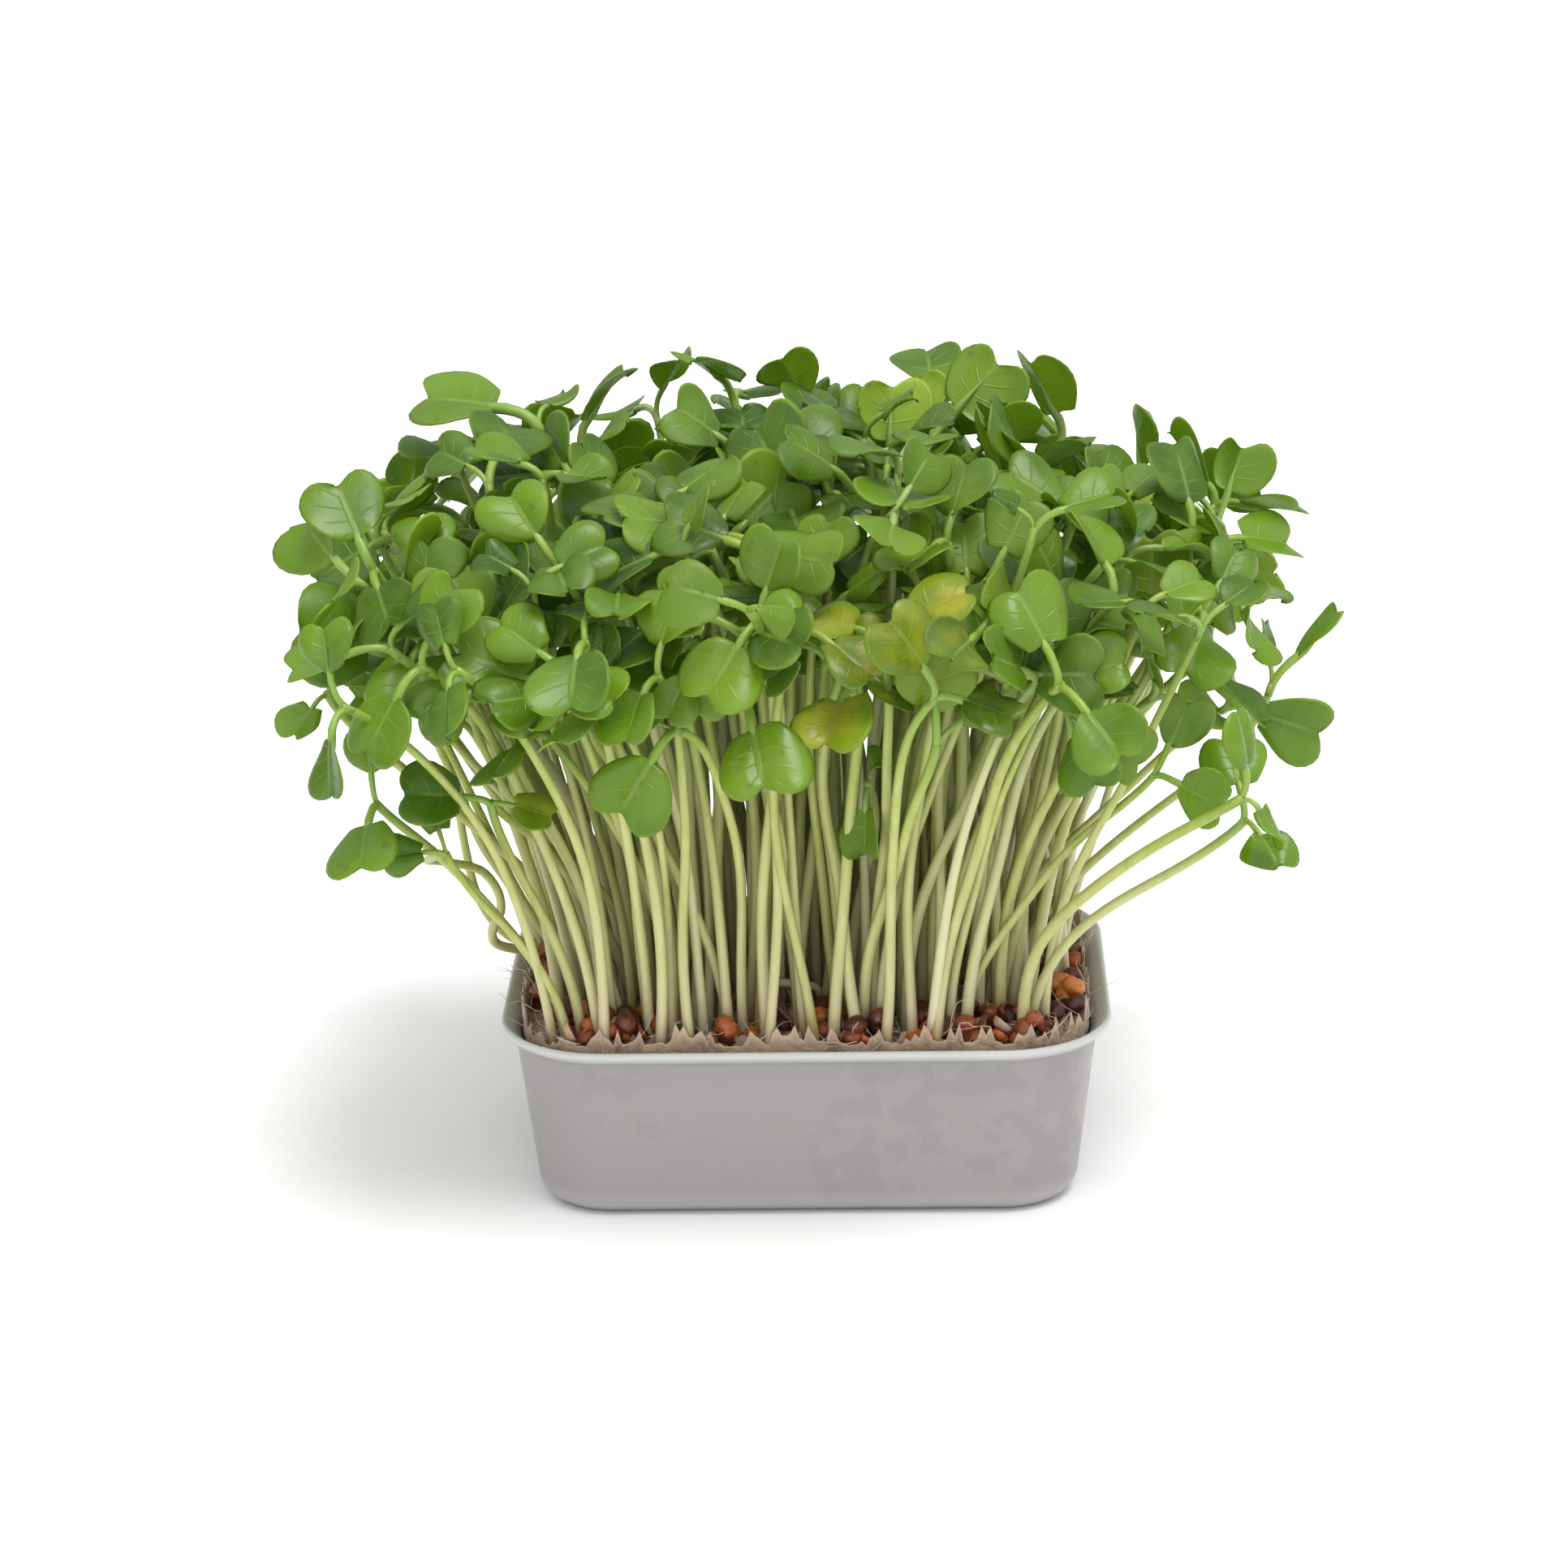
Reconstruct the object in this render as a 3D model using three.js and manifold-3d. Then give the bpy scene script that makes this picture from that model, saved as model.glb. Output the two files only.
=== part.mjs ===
// Tray of cress microgreens: a shallow plastic tray, the fibre mat that fills it, seed coats lying on the
// mat, and clumps of young sprouts with two notched seed leaves each. Millimetres, +Z up, +Y away from the
// front. The origin is the middle of the tray's flat underside.
import * as THREE from 'three';
import { mergeVertices } from 'three/addons/utils/BufferGeometryUtils.js';
import Module from 'manifold-3d';

const wasm = await Module();
wasm.setup();

// Tray
const RIM_LENGTH = 95;
const RIM_WIDTH = 70;
const TRAY_HEIGHT = 29.5;
const RIM_RADIUS = 17;
const BASE_INSET = 5.1;
const BASE_ROUNDING = 4.2;
const LIP_REACH = 2.3;
const LIP_DROP = 2.6;
const LIP_PROFILE = [[0.7, 1.7], [0, 0.5], [0.5, 0], [1.5, 0.7]];
const WALL = 1;
const TRAY_CORNER_STEPS = 6;
const UNDER_ROUNDING_STEPS = 3;
const FLOOR_ROUNDING_STEPS = 2;

// Growing mat
const MAT_GAP = 0.35;
const MAT_SINK = 3;
const MAT_HALF = new THREE.Vector2(43, 31);
const MAT_EDGE_RISE = 1.8;
const MAT_EDGE_POWER = 6;
const MAT_LUMP = 0.45;
const MAT_LUMP_TURNS = new THREE.Vector2(0.31, 0.37);
const MAT_LUMP_SHIFT = 1.3;
const MAT_SHOULDER_DROP = 4.1;
const MAT_FLOOR_INSET = 9.7;
const MAT_CORNER_STEPS = 4;
const MAT_LONG_STEPS = 4;
const MAT_SHORT_STEPS = 3;
const MAT_TOP_RINGS = [0.6, 5, 14, 25];

// Root tufts, each in a pocket of the mat
const CLUMP_ROWS = 5;
const CLUMP_COLUMNS = 7;
const CLUMP_PITCH = new THREE.Vector2(11.5, 12);
const CLUMP_JITTER = 1.2;
const TUFT_SIDES = 5;
const TUFT_RADIUS = 3.1;
const TUFT_DEPTH = 3.4;
const TUFT_RISE = 0.6;
const POCKET_GAP = 0.35;
const POCKET_OPENING = 3;
const ROOT_OFFSET = 1.5;
const ROOT_DEPTH = 1.8;
const SPROUTS_PER_CLUMP = 3;

// Sprouts
const STEM_RADIUS = 0.98;
const STEM_SIDES = 3;
const STEM_STEPS = 5;
const STEM_OVERRUN = 0.5;
const LEAF_THICKNESS = 0.6;
const PETIOLE_START = 0.15;
const BEZIER_START = 0.38;
const BEZIER_END = 0.28;
const SEED = 555;
const TRIES = 60;

// Leaders are moved by this much more at each try, and turned by some degrees for each mm
const NUDGE = 0.12;
const NUDGE_TURN = 6;
const LEADER_PETIOLE = [1.5, 0.3];
const LEADER_UPRIGHT = 0.5;

// Fillers: heads spread outwards from their roots, and are lower towards the corners of the tray
const HEAD_SPREAD = 1.75;
const SPREAD_RANGE = [0.85, 1.15];
const HEAD_SCATTER = 6;
const HEAD_LIMIT = 66;
const HEAD_HEIGHT = 105;
const HEAD_FALL = new THREE.Vector2(15, 10);
const ROOT_REACH = new THREE.Vector2(40, 28);
const HEAD_DROP_RANGE = [-17, 5];
const LEAN_REACH = new THREE.Vector2(95, 80);
const LEAN_SCATTER = 0.45;
const LEAN_RISE = 0.75;
const CURL_RANGE = [-2, 20];
const LEAF_SIZE_RANGE = [10, 13.5];
const SECOND_LEAF_RANGE = [0.7, 1];
const FOLD_RANGE = [0, 0.3];
const KICK = 4;
const PETIOLE_RANGE = [3.5, 6];
const OPENING_RANGE = [50, 90];
const TWIST = 0.35;

// Clear space kept round stems and leaves when a sprout is placed
const CLEAR_STEM = 1.1;
const CLEAR_LEAF = 1.1;
const SAMPLE_STEP = 1.7;
const PETIOLE_STEP = 1.5;

// Half outline of a notched seed leaf, as fractions of its width: along the midrib, out from the midrib
const LEAF_OUTLINE = [[0.1, 0.23], [0.34, 0.45], [0.66, 0.49], [0.86, 0.29]];
const LEAF_MIDDLE = 0.38;
const LEAF_NOTCH = 0.72;
const LEAF_GRID = [
  [0.14, 0], [0.14, 0.17], [0.28, 0], [0.28, 0.16], [0.28, 0.36], [0.43, 0], [0.43, 0.15], [0.43, 0.3],
  [0.43, 0.46], [0.58, 0], [0.58, 0.15], [0.58, 0.3], [0.58, 0.47], [0.72, 0.1], [0.72, 0.25],
  [0.72, 0.4], [0.83, 0.16], [0.83, 0.3],
];

// Sprouts that stand out at the edge of the crown or hang in front of the stems. Each row gives the wanted
// root (x, y), the head where the leaves part (x, y, z), then for each of the two leaves the way it points
// (azimuth, elevation), the tilt of its upper face from the front to the sky, and its width, and last the
// curl per 10 mm and the fold along the midrib.
const LEADERS = [
  [-35, 2, -73, -12, 81, -128, -35, 72, 7.5, 42, 48, 16, 6, 6, 0.3],
  [-32, -12, -60, -18, 88, -140, 22, 19, 15.5, 69, 48, -32, 8, 8, 0.25],
  [-35, -5, -57, -12, 78, -174, -13, 34, 10.5, 145, 28, 20, 7, 6, 0.2],
  [-38, -20, -53, -36, 63, -159, 5, 42, 7.5, 135, 65, 71, 6, 8, 0.1],
  [-31, -24, -46, -36, 71, -157, 16, 46, 11, -22, -5, 49, 8, 12, 0.1],
  [-10, -24, -18, -52, 87, -144, -51, 16, 12.5, 133, 10, 19, 4, 4, 0.12],
  [-2, -20, -7, -51, 92, -70, -55, -12, 13.5, -22, 34, 45, 8.5, -10, 0.2],
  [-2, -27, -5, -52, 97, 115, 61, 97, 13, -172, 34, 40, 12, 6, 0.08],
  [-24, -26, -34, -47, 91, 174, 22, 41, 14, -143, 5, 44, 10, 4, 0.08],
  [-18, -27, -32, -50, 102, -89, -23, 125, 12.5, 82, 30, 10, 9.5, 22, 0.1],
  [-26, -16, -48, -38, 92, 113, 65, 28, 12.5, 47, 38, -10, 10, 4, 0.18],
  [-7, -14, -11, -28, 110, -157, 16, 59, 13, -30, -12, 75, 12, 4, 0.1],
  [-3, -6, -12, -18, 104, 25, 39, 17, 13.5, 124, 51, 81, 11, 4, 0.08],
  [-15, -8, -27, -18, 97, 99, 66, 96, 16, -172, 12, 48, 11, 3, 0.05],
  [-27, 14, -42, 20, 116, 165, 10, 71, 16.5, 64, 10, 127, 8, 6, 0.12],
  [-24, 6, -48, 1, 111, 80, 20, 13, 13.5, 142, 15, 42, 9, 6, 0.1],
  [-19, 16, -36, 24, 109, 56, 67, 106, 13, 145, -26, 18, 6, 28, 0.3],
  [3, 18, 7, 27, 108, 120, 35, 108, 12, 61, 39, 15, 9, 6, 0.25],
  [13, 20, 21, 30, 115, 95, 29, 38, 11.5, -36, -76, -78, 8, 10, 0.1],
  [16, 14, 22, 26, 111, 36, 22, -138, 13.5, 100, 31, 146, 8, 4, 0.12],
  [7, 8, 13, 16, 107, 82, 71, -108, 12, 173, 11, 45, 11, 4, 0.15],
  [34, 6, 65, 8, 101, 41, 62, -110, 10, 159, 49, 101, 9, 10, 0.3],
  [38, 0, 73, -2, 78, 18, 39, 101, 12, 118, 69, 105, 7, -4, 0.3],
  [36, -8, 66, -14, 78, -5, -20, -13, 12, 135, 59, 105, 8, 2, 0.05],
  [18, -29, 53, -38, 75, -38, -15, 5, 9.5, 18, 64, -19, 9.5, 6, 0.15],
  [11, -28, 35, -46, 116, -167, 35, 69, 6, 9, 20, 66, 10, 10, 0.3],
  [16, -26, 28, -44, 64, -9, 42, -9, 6, 160, 25, 43, 5, 40, 0.4],
  [7, -12, 10, -32, 72, -98, -71, 106, 9, 66, 25, 16, 5, 4, 0.25],
  [5, -22, 14, -53, 93, -179, 34, 36, 11.5, 46, 21, -10, 8, 18, 0.1],
  [9, -26, 12, -50, 99, 3, 38, 61, 11.5, 168, 9, 60, 9, 18, 0.2],
  [12, -18, 17, -46, 85, -113, 60, 23, 12, -1, 47, 61, 9.5, 6, 0.2],
  [24, -24, 37, -44, 91, 84, 66, -60, 12, -18, 5, 77, 10, 14, 0.12],
  [32, -14, 47, -34, 88, -4, -15, 4, 11.5, -6, 72, 78, 12, 6, 0.15],
  [26, -27, 39, -46, 88, -21, -38, -37, 11.5, -57, -57, -43, 10.5, 8, 0.12],
  [-37, -2, -61, -10, 99, 156, 10, 64, 13.5, 9, -9, 93, 11, 6, 0.2],
  [-35, 8, -64, -1, 103, 110, 19, 21, 13, 61, 57, -52, 9.5, 6, 0.3],
  [-31, 12, -53, 14, 104, 128, 9, 20, 11, 18, 14, 72, 12, 4, 0.1],
  [30, 10, 51, 12, 97, 57, 25, -149, 12, 127, 67, 94, 12, 8, 0.3],
  [28, -4, 50, -12, 90, 139, 64, 74, 14, 48, 58, -45, 14, 4, 0.15],
  [6, -6, 14, -14, 114, -90, 1, 147, 14.5, 89, 11, -1, 10, 4, 0.1],
  [10, -20, 20, -37, 106, -142, 2, 40, 13.5, 29, 72, 13, 12, 4, 0.1],
  [20, 0, 25, -8, 98, 128, 61, 24, 11, -32, -25, 58, 11, 8, 0.2],
  [-14, -26, -37, -41, 107, 14, 32, 47, 10, 151, 21, 55, 7, 10, 0.15],
  [-20, -22, -35, -44, 98, 149, 58, 94, 12, 26, -27, 19, 6, 8, 0.3],
  [-6, -18, -14, -43, 98, 118, 69, 69, 10.5, 165, 16, 83, 9, 6, 0.15],
  [-4, -28, -14, -50, 98, -132, -51, 60, 8.5, -41, -50, -13, 7.5, 10, 0.2],
];

// Piles of seed coats on the mat: name, and where the pile starts
const SEED_PILES = [
  ['seed_husks_front_left', -32, -28],
  ['seed_husks_front_middle', 7, -30],
  ['seed_husks_front_right', 27, -29],
  ['seed_husks_right_side', 41, -4],
  ['seed_husks_left_side', -41, 2],
];
const SEEDS_PER_PILE = 6;
const SEED_HALF = new THREE.Vector3(1.8, 1.5, 1.35);
const SEED_PITCH = 2.2;
const SEED_APART = 3.3;
const SEED_CLEAR = 2.75;
const SEED_LIFT = 1.55;
const SEED_TRIES = 400;
const SEED_FIRST_REACH = 4;
const SEED_HEAP = 0.5;
const SEED_TILT = 0.4;
const SEED_AREA = new THREE.Vector3(29, 17, 13.2);
const LOW_STEM = TRAY_HEIGHT + 5;

// One repeatable stream of numbers for the whole layout
class Draw {
  constructor(seed) {
    this.state = seed;
  }

  unit() {
    this.state = (this.state * 16807) % 2147483647;
    return this.state / 2147483647;
  }

  between(low, high) {
    return low + (high - low) * this.unit();
  }
}

const draw = new Draw(SEED);
const radians = THREE.MathUtils.degToRad;

// Closed solids and their joins
function solid(geometry) {
  const bare = geometry.clone();
  bare.deleteAttribute('normal');
  bare.deleteAttribute('uv');
  const merged = mergeVertices(bare, 1e-5);
  const vertProperties = new Float32Array(merged.attributes.position.array);
  const triVerts = new Uint32Array(merged.index.array);
  return new wasm.Manifold(new wasm.Mesh({ numProp: 3, vertProperties, triVerts }));
}

function joined(geometries) {
  return geometries.map(solid).reduce((whole, piece) => whole.add(piece));
}

function geometryOf(manifold) {
  const mesh = manifold.getMesh();
  const geometry = new THREE.BufferGeometry();
  geometry.setAttribute('position', new THREE.BufferAttribute(mesh.vertProperties, 3));
  geometry.setIndex(new THREE.BufferAttribute(mesh.triVerts, 1));
  return geometry;
}

// Closed surface through rings of points, with a middle point at each end
function lofted(rings, first, last) {
  const count = rings[0].length;
  const points = [first, ...rings.flat(), last];
  const index = [];
  const at = (ring, i) => 1 + ring * count + (i % count);
  for (let i = 0; i < count; i += 1) {
    index.push(0, at(0, i + 1), at(0, i));
    for (let ring = 0; ring < rings.length - 1; ring += 1) {
      index.push(at(ring, i), at(ring, i + 1), at(ring + 1, i + 1));
      index.push(at(ring, i), at(ring + 1, i + 1), at(ring + 1, i));
    }
    index.push(points.length - 1, at(rings.length - 1, i), at(rings.length - 1, i + 1));
  }
  const geometry = new THREE.BufferGeometry().setFromPoints(points);
  geometry.setIndex(index);
  return geometry;
}

// Rounded rectangle seen from above, anticlockwise, with its long and short sides split
function roundedRing(inset, z, cornerSteps, longSteps, shortSteps) {
  const halfX = RIM_LENGTH / 2 - inset;
  const halfY = RIM_WIDTH / 2 - inset;
  const radius = Math.max(RIM_RADIUS - inset, 1);
  const ring = [];
  for (let corner = 0; corner < 4; corner += 1) {
    const sideX = corner === 0 || corner === 3 ? 1 : -1;
    const sideY = corner < 2 ? 1 : -1;
    for (let i = 0; i <= cornerSteps; i += 1) {
      const angle = (corner + i / cornerSteps) * Math.PI / 2;
      ring.push(new THREE.Vector3(
        sideX * (halfX - radius) + radius * Math.cos(angle),
        sideY * (halfY - radius) + radius * Math.sin(angle),
        z,
      ));
    }
    const end = ring[ring.length - 1];
    const steps = corner % 2 === 0 ? longSteps : shortSteps;
    const stride = corner % 2 === 0 ? 2 * (halfX - radius) / steps : 2 * (halfY - radius) / steps;
    for (let i = 1; i < steps; i += 1) {
      const alongX = corner % 2 === 0 ? -sideX * stride * i : 0;
      const alongY = corner % 2 === 0 ? 0 : -sideY * stride * i;
      ring.push(new THREE.Vector3(end.x + alongX, end.y + alongY, z));
    }
  }
  return ring;
}

// How far the tray's outer wall stands in from the rim at a height
function wallInset(z) {
  const rise = (z - BASE_ROUNDING) / (TRAY_HEIGHT - LIP_DROP - BASE_ROUNDING);
  return THREE.MathUtils.lerp(BASE_INSET, LIP_REACH, THREE.MathUtils.clamp(rise, 0, 1));
}

// Inset and height along the tray's section, from the underside up the outside and down the inside
function traySection() {
  const section = [];
  for (let i = 0; i <= UNDER_ROUNDING_STEPS; i += 1) {
    const angle = i / UNDER_ROUNDING_STEPS * Math.PI / 2;
    const inset = BASE_INSET + BASE_ROUNDING * (1 - Math.sin(angle));
    section.push([inset, BASE_ROUNDING * (1 - Math.cos(angle))]);
  }
  const lipFoot = TRAY_HEIGHT - LIP_DROP;
  section.push([LIP_REACH, lipFoot]);
  section.push(...LIP_PROFILE.map(([inset, drop]) => [inset, TRAY_HEIGHT - drop]));
  section.push([LIP_REACH + WALL, lipFoot]);
  const floorRounding = BASE_ROUNDING - WALL;
  for (let i = 0; i <= FLOOR_ROUNDING_STEPS; i += 1) {
    const angle = i / FLOOR_ROUNDING_STEPS * Math.PI / 2;
    const inset = BASE_INSET + WALL + floorRounding * (1 - Math.cos(angle));
    section.push([inset, WALL + floorRounding * (1 - Math.sin(angle))]);
  }
  return section;
}

function trayGeometry() {
  const rings = traySection().map(([inset, z]) => roundedRing(inset, z, TRAY_CORNER_STEPS, 1, 1));
  return lofted(rings, new THREE.Vector3(0, 0, 0), new THREE.Vector3(0, 0, WALL));
}

// Height of the mat's surface, dipped in the middle, lumpy, and pulled up along the rim
function matTop(x, y) {
  const edge = Math.max(Math.abs(x) / MAT_HALF.x, Math.abs(y) / MAT_HALF.y);
  const wave = Math.sin(MAT_LUMP_TURNS.x * x + MAT_LUMP_SHIFT) * Math.cos(MAT_LUMP_TURNS.y * y);
  return TRAY_HEIGHT - MAT_SINK + MAT_EDGE_RISE * edge ** MAT_EDGE_POWER + MAT_LUMP * wave;
}

function matRing(inset, z) {
  return roundedRing(inset, z, MAT_CORNER_STEPS, MAT_LONG_STEPS, MAT_SHORT_STEPS);
}

function matGeometry() {
  const inner = WALL + MAT_GAP;
  const shoulder = TRAY_HEIGHT - MAT_SHOULDER_DROP;
  const rings = [
    matRing(MAT_FLOOR_INSET, inner),
    matRing(BASE_INSET + inner + 0.2, inner + BASE_ROUNDING),
    matRing(wallInset(shoulder) + inner, shoulder),
  ];
  for (const shrink of MAT_TOP_RINGS) {
    const ring = matRing(wallInset(shoulder) + inner + shrink, 0);
    ring.forEach((point) => point.setZ(matTop(point.x, point.y)));
    rings.push(ring);
  }
  return lofted(rings, new THREE.Vector3(0, 0, inner), new THREE.Vector3(0, 0, matTop(0, 0)));
}

// Clumps of sprouts on a staggered grid
function clumpSpots() {
  const spots = [];
  for (let row = 0; row < CLUMP_ROWS; row += 1) {
    const columns = row % 2 === 0 ? CLUMP_COLUMNS : CLUMP_COLUMNS - 1;
    for (let column = 0; column < columns; column += 1) {
      const x = (column - (columns - 1) / 2) * CLUMP_PITCH.x + draw.between(-CLUMP_JITTER, CLUMP_JITTER);
      const y = (row - (CLUMP_ROWS - 1) / 2) * CLUMP_PITCH.y + draw.between(-CLUMP_JITTER, CLUMP_JITTER);
      spots.push({ x, y, sprouts: [] });
    }
  }
  for (const spot of spots) {
    spot.turn = draw.between(0, 2 * Math.PI);
  }
  return spots;
}

function nextRoot(spot) {
  const angle = spot.turn + 2 * Math.PI * spot.sprouts.length / SPROUTS_PER_CLUMP;
  return new THREE.Vector2(spot.x + ROOT_OFFSET * Math.cos(angle), spot.y + ROOT_OFFSET * Math.sin(angle));
}

function direction(azimuth, elevation) {
  const a = radians(azimuth);
  const e = radians(elevation);
  return new THREE.Vector3(Math.cos(e) * Math.cos(a), Math.cos(e) * Math.sin(a), Math.sin(e));
}

// A leaf that leaves the head along one way and shows its upper face to another
function leafOf(along, wantedFace, size, petiole, curl, fold) {
  const face = wantedFace.clone().addScaledVector(along, -wantedFace.dot(along)).normalize();
  const side = new THREE.Vector3().crossVectors(face, along);
  return { along, face, side, size, petiole, curl: radians(curl) / 10, fold };
}

function sproutOf(root, head, tip, leaves, kick) {
  const start = new THREE.Vector3(root.x, root.y, matTop(root.x, root.y) - ROOT_DEPTH);
  const reach = head.distanceTo(start);
  const first = start.clone().add(new THREE.Vector3(kick.x, kick.y, BEZIER_START * reach));
  const last = head.clone().addScaledVector(tip.normalize(), -BEZIER_END * reach);
  return { stem: new THREE.CubicBezierCurve3(start, first, last, head), head, reach, leaves };
}

// One of the leaders, moved a little further from its row at each try
function leader(row, root, nudge) {
  const [x, y, z] = row.slice(2, 5);
  const [azimuth1, elevation1, face1, size1, azimuth2, elevation2, face2, size2] = row.slice(5, 13);
  const [curl, fold] = row.slice(13);
  const push = Array.from({ length: 7 }, () => draw.between(-nudge, nudge));
  const leaves = [
    [azimuth1 + NUDGE_TURN * push[3], elevation1 + NUDGE_TURN * push[4], face1, size1],
    [azimuth2 + NUDGE_TURN * push[5], elevation2 + NUDGE_TURN * push[6], face2, size2],
  ].map(([azimuth, elevation, tilt, size]) => {
    const face = new THREE.Vector3(0, -Math.cos(radians(tilt)), Math.sin(radians(tilt)));
    const petiole = LEADER_PETIOLE[0] + LEADER_PETIOLE[1] * size;
    return leafOf(direction(azimuth, elevation), face, size, petiole, curl, fold);
  });
  const tip = new THREE.Vector3(0, 0, LEADER_UPRIGHT * (size1 + size2));
  for (const leaf of leaves) {
    tip.addScaledVector(leaf.along, leaf.size).addScaledVector(leaf.face, leaf.size);
  }
  const head = new THREE.Vector3(x + push[0], y + push[1], z + push[2]);
  return sproutOf(root, head, tip, leaves, new THREE.Vector2(0, 0));
}

// One of the sprouts that fill the crown, its head spread outwards from its root
function filler(root) {
  const spread = HEAD_SPREAD * draw.between(...SPREAD_RANGE);
  const wantedX = root.x * spread + draw.between(-HEAD_SCATTER, HEAD_SCATTER);
  const x = THREE.MathUtils.clamp(wantedX, -HEAD_LIMIT, HEAD_LIMIT);
  const y = root.y * spread + draw.between(-HEAD_SCATTER, HEAD_SCATTER);
  const fall = HEAD_FALL.x * (root.x / ROOT_REACH.x) ** 2 + HEAD_FALL.y * (root.y / ROOT_REACH.y) ** 2;
  const z = HEAD_HEIGHT - fall + draw.between(...HEAD_DROP_RANGE);
  const leanX = x / LEAN_REACH.x + draw.between(-LEAN_SCATTER, LEAN_SCATTER);
  const leanY = y / LEAN_REACH.y + draw.between(-LEAN_SCATTER, LEAN_SCATTER);
  const tip = new THREE.Vector3(leanX, leanY, LEAN_RISE).normalize();
  const roll = draw.between(0, Math.PI);
  const level = new THREE.Vector3(Math.cos(roll), Math.sin(roll), 0);
  const pair = new THREE.Vector3().crossVectors(tip, level).normalize();
  const curl = draw.between(...CURL_RANGE);
  const size = draw.between(...LEAF_SIZE_RANGE);
  const second = draw.between(...SECOND_LEAF_RANGE);
  const fold = draw.between(...FOLD_RANGE);
  const kickX = draw.between(-KICK, KICK);
  const kickY = draw.between(-KICK, KICK);
  const petiole = draw.between(...PETIOLE_RANGE);
  const leaves = [[1, 1], [-1, second]].map(([sign, scale]) => {
    const opening = radians(draw.between(...OPENING_RANGE));
    const away = pair.clone().multiplyScalar(sign);
    const along = tip.clone().multiplyScalar(Math.cos(opening)).addScaledVector(away, Math.sin(opening));
    const face = tip.clone().multiplyScalar(Math.sin(opening)).addScaledVector(away, -Math.cos(opening));
    const turned = new THREE.Vector3().crossVectors(along, face).multiplyScalar(draw.between(-TWIST, TWIST));
    return leafOf(along, face.add(turned), size * scale, petiole * scale, curl, fold);
  });
  return sproutOf(root, new THREE.Vector3(x, y, z), tip, leaves, new THREE.Vector2(kickX, kickY));
}

// Point of a leaf's middle surface, u along from the head and v across, and the face's direction there
function leafPoint(sprout, leaf, u, v) {
  const curl = Math.abs(leaf.curl) > 1e-4 ? leaf.curl : 1e-4;
  const bend = curl * u;
  const normal = leaf.face.clone().multiplyScalar(Math.cos(bend)).addScaledVector(leaf.along, Math.sin(bend));
  const point = sprout.head.clone()
    .addScaledVector(leaf.along, Math.sin(bend) / curl)
    .addScaledVector(leaf.face, -(1 - Math.cos(bend)) / curl)
    .addScaledVector(leaf.side, v)
    .addScaledVector(normal, leaf.fold * Math.abs(v));
  return { point, normal };
}

// Points all over a sprout, each with the room it keeps
function samplesOf(sprout) {
  const samples = [];
  const count = Math.max(4, Math.ceil(sprout.reach / SAMPLE_STEP));
  for (let i = 0; i <= count; i += 1) {
    samples.push({ point: sprout.stem.getPoint(i / count), room: CLEAR_STEM });
  }
  for (const leaf of sprout.leaves) {
    const steps = Math.max(1, Math.round(leaf.petiole / PETIOLE_STEP));
    for (let i = 1; i <= steps; i += 1) {
      samples.push({ point: leafPoint(sprout, leaf, leaf.petiole * i / steps, 0).point, room: CLEAR_STEM });
    }
    for (const [along, across] of LEAF_GRID) {
      for (const side of across > 0 ? [1, -1] : [1]) {
        const u = leaf.petiole + along * leaf.size;
        const v = side * across * leaf.size;
        samples.push({ point: leafPoint(sprout, leaf, u, v).point, room: CLEAR_LEAF });
      }
    }
  }
  return samples;
}

function boundsOf(samples) {
  return new THREE.Box3().setFromPoints(samples.map((sample) => sample.point));
}

function isClear(samples, placed) {
  const reach = 2 * CLEAR_STEM;
  return placed.every((other) => {
    const room = other.bounds.clone().expandByScalar(reach);
    const near = samples.filter((sample) => room.containsPoint(sample.point));
    return near.every((sample) => other.samples.every((taken) => {
      const least = sample.room + taken.room;
      return sample.point.distanceToSquared(taken.point) >= least * least;
    }));
  });
}

// Tries a sprout again and again until it stands clear of all that are placed
function place(spot, placed, make) {
  const root = nextRoot(spot);
  for (let attempt = 0; attempt < TRIES; attempt += 1) {
    const sprout = make(root, attempt);
    const samples = samplesOf(sprout);
    if (isClear(samples, placed)) {
      placed.push({ samples, bounds: boundsOf(samples) });
      spot.sprouts.push(sprout);
      return;
    }
  }
}

function grownClumps() {
  const spots = clumpSpots();
  const placed = [];
  for (const row of LEADERS) {
    const open = spots.filter((spot) => spot.sprouts.length < SPROUTS_PER_CLUMP);
    const distance = (spot) => Math.hypot(spot.x - row[0], spot.y - row[1]);
    const nearest = open.reduce((best, spot) => (distance(spot) < distance(best) ? spot : best));
    place(nearest, placed, (root, attempt) => leader(row, root, NUDGE * attempt));
  }
  for (const spot of spots) {
    for (let free = SPROUTS_PER_CLUMP - spot.sprouts.length; free > 0; free -= 1) {
      place(spot, placed, (root) => filler(root));
    }
  }
  return { spots: spots.filter((spot) => spot.sprouts.length > 0), placed };
}

// Upright prism with a few sides, turned to the clump's own angle
function prism(spot, radius, low, high) {
  const options = { depth: high - low, bevelEnabled: false };
  const geometry = new THREE.ExtrudeGeometry(polygon(radius, TUFT_SIDES), options);
  geometry.rotateZ(spot.turn);
  geometry.translate(spot.x, spot.y, low);
  return geometry;
}

function polygon(radius, sides) {
  const corners = Array.from({ length: sides }, (_, i) => {
    const angle = i / sides * 2 * Math.PI;
    return new THREE.Vector2(radius * Math.cos(angle), radius * Math.sin(angle));
  });
  return new THREE.Shape(corners);
}

function tuftGeometry(spot) {
  const top = matTop(spot.x, spot.y);
  return prism(spot, TUFT_RADIUS, top - TUFT_DEPTH, top + TUFT_RISE);
}

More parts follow.
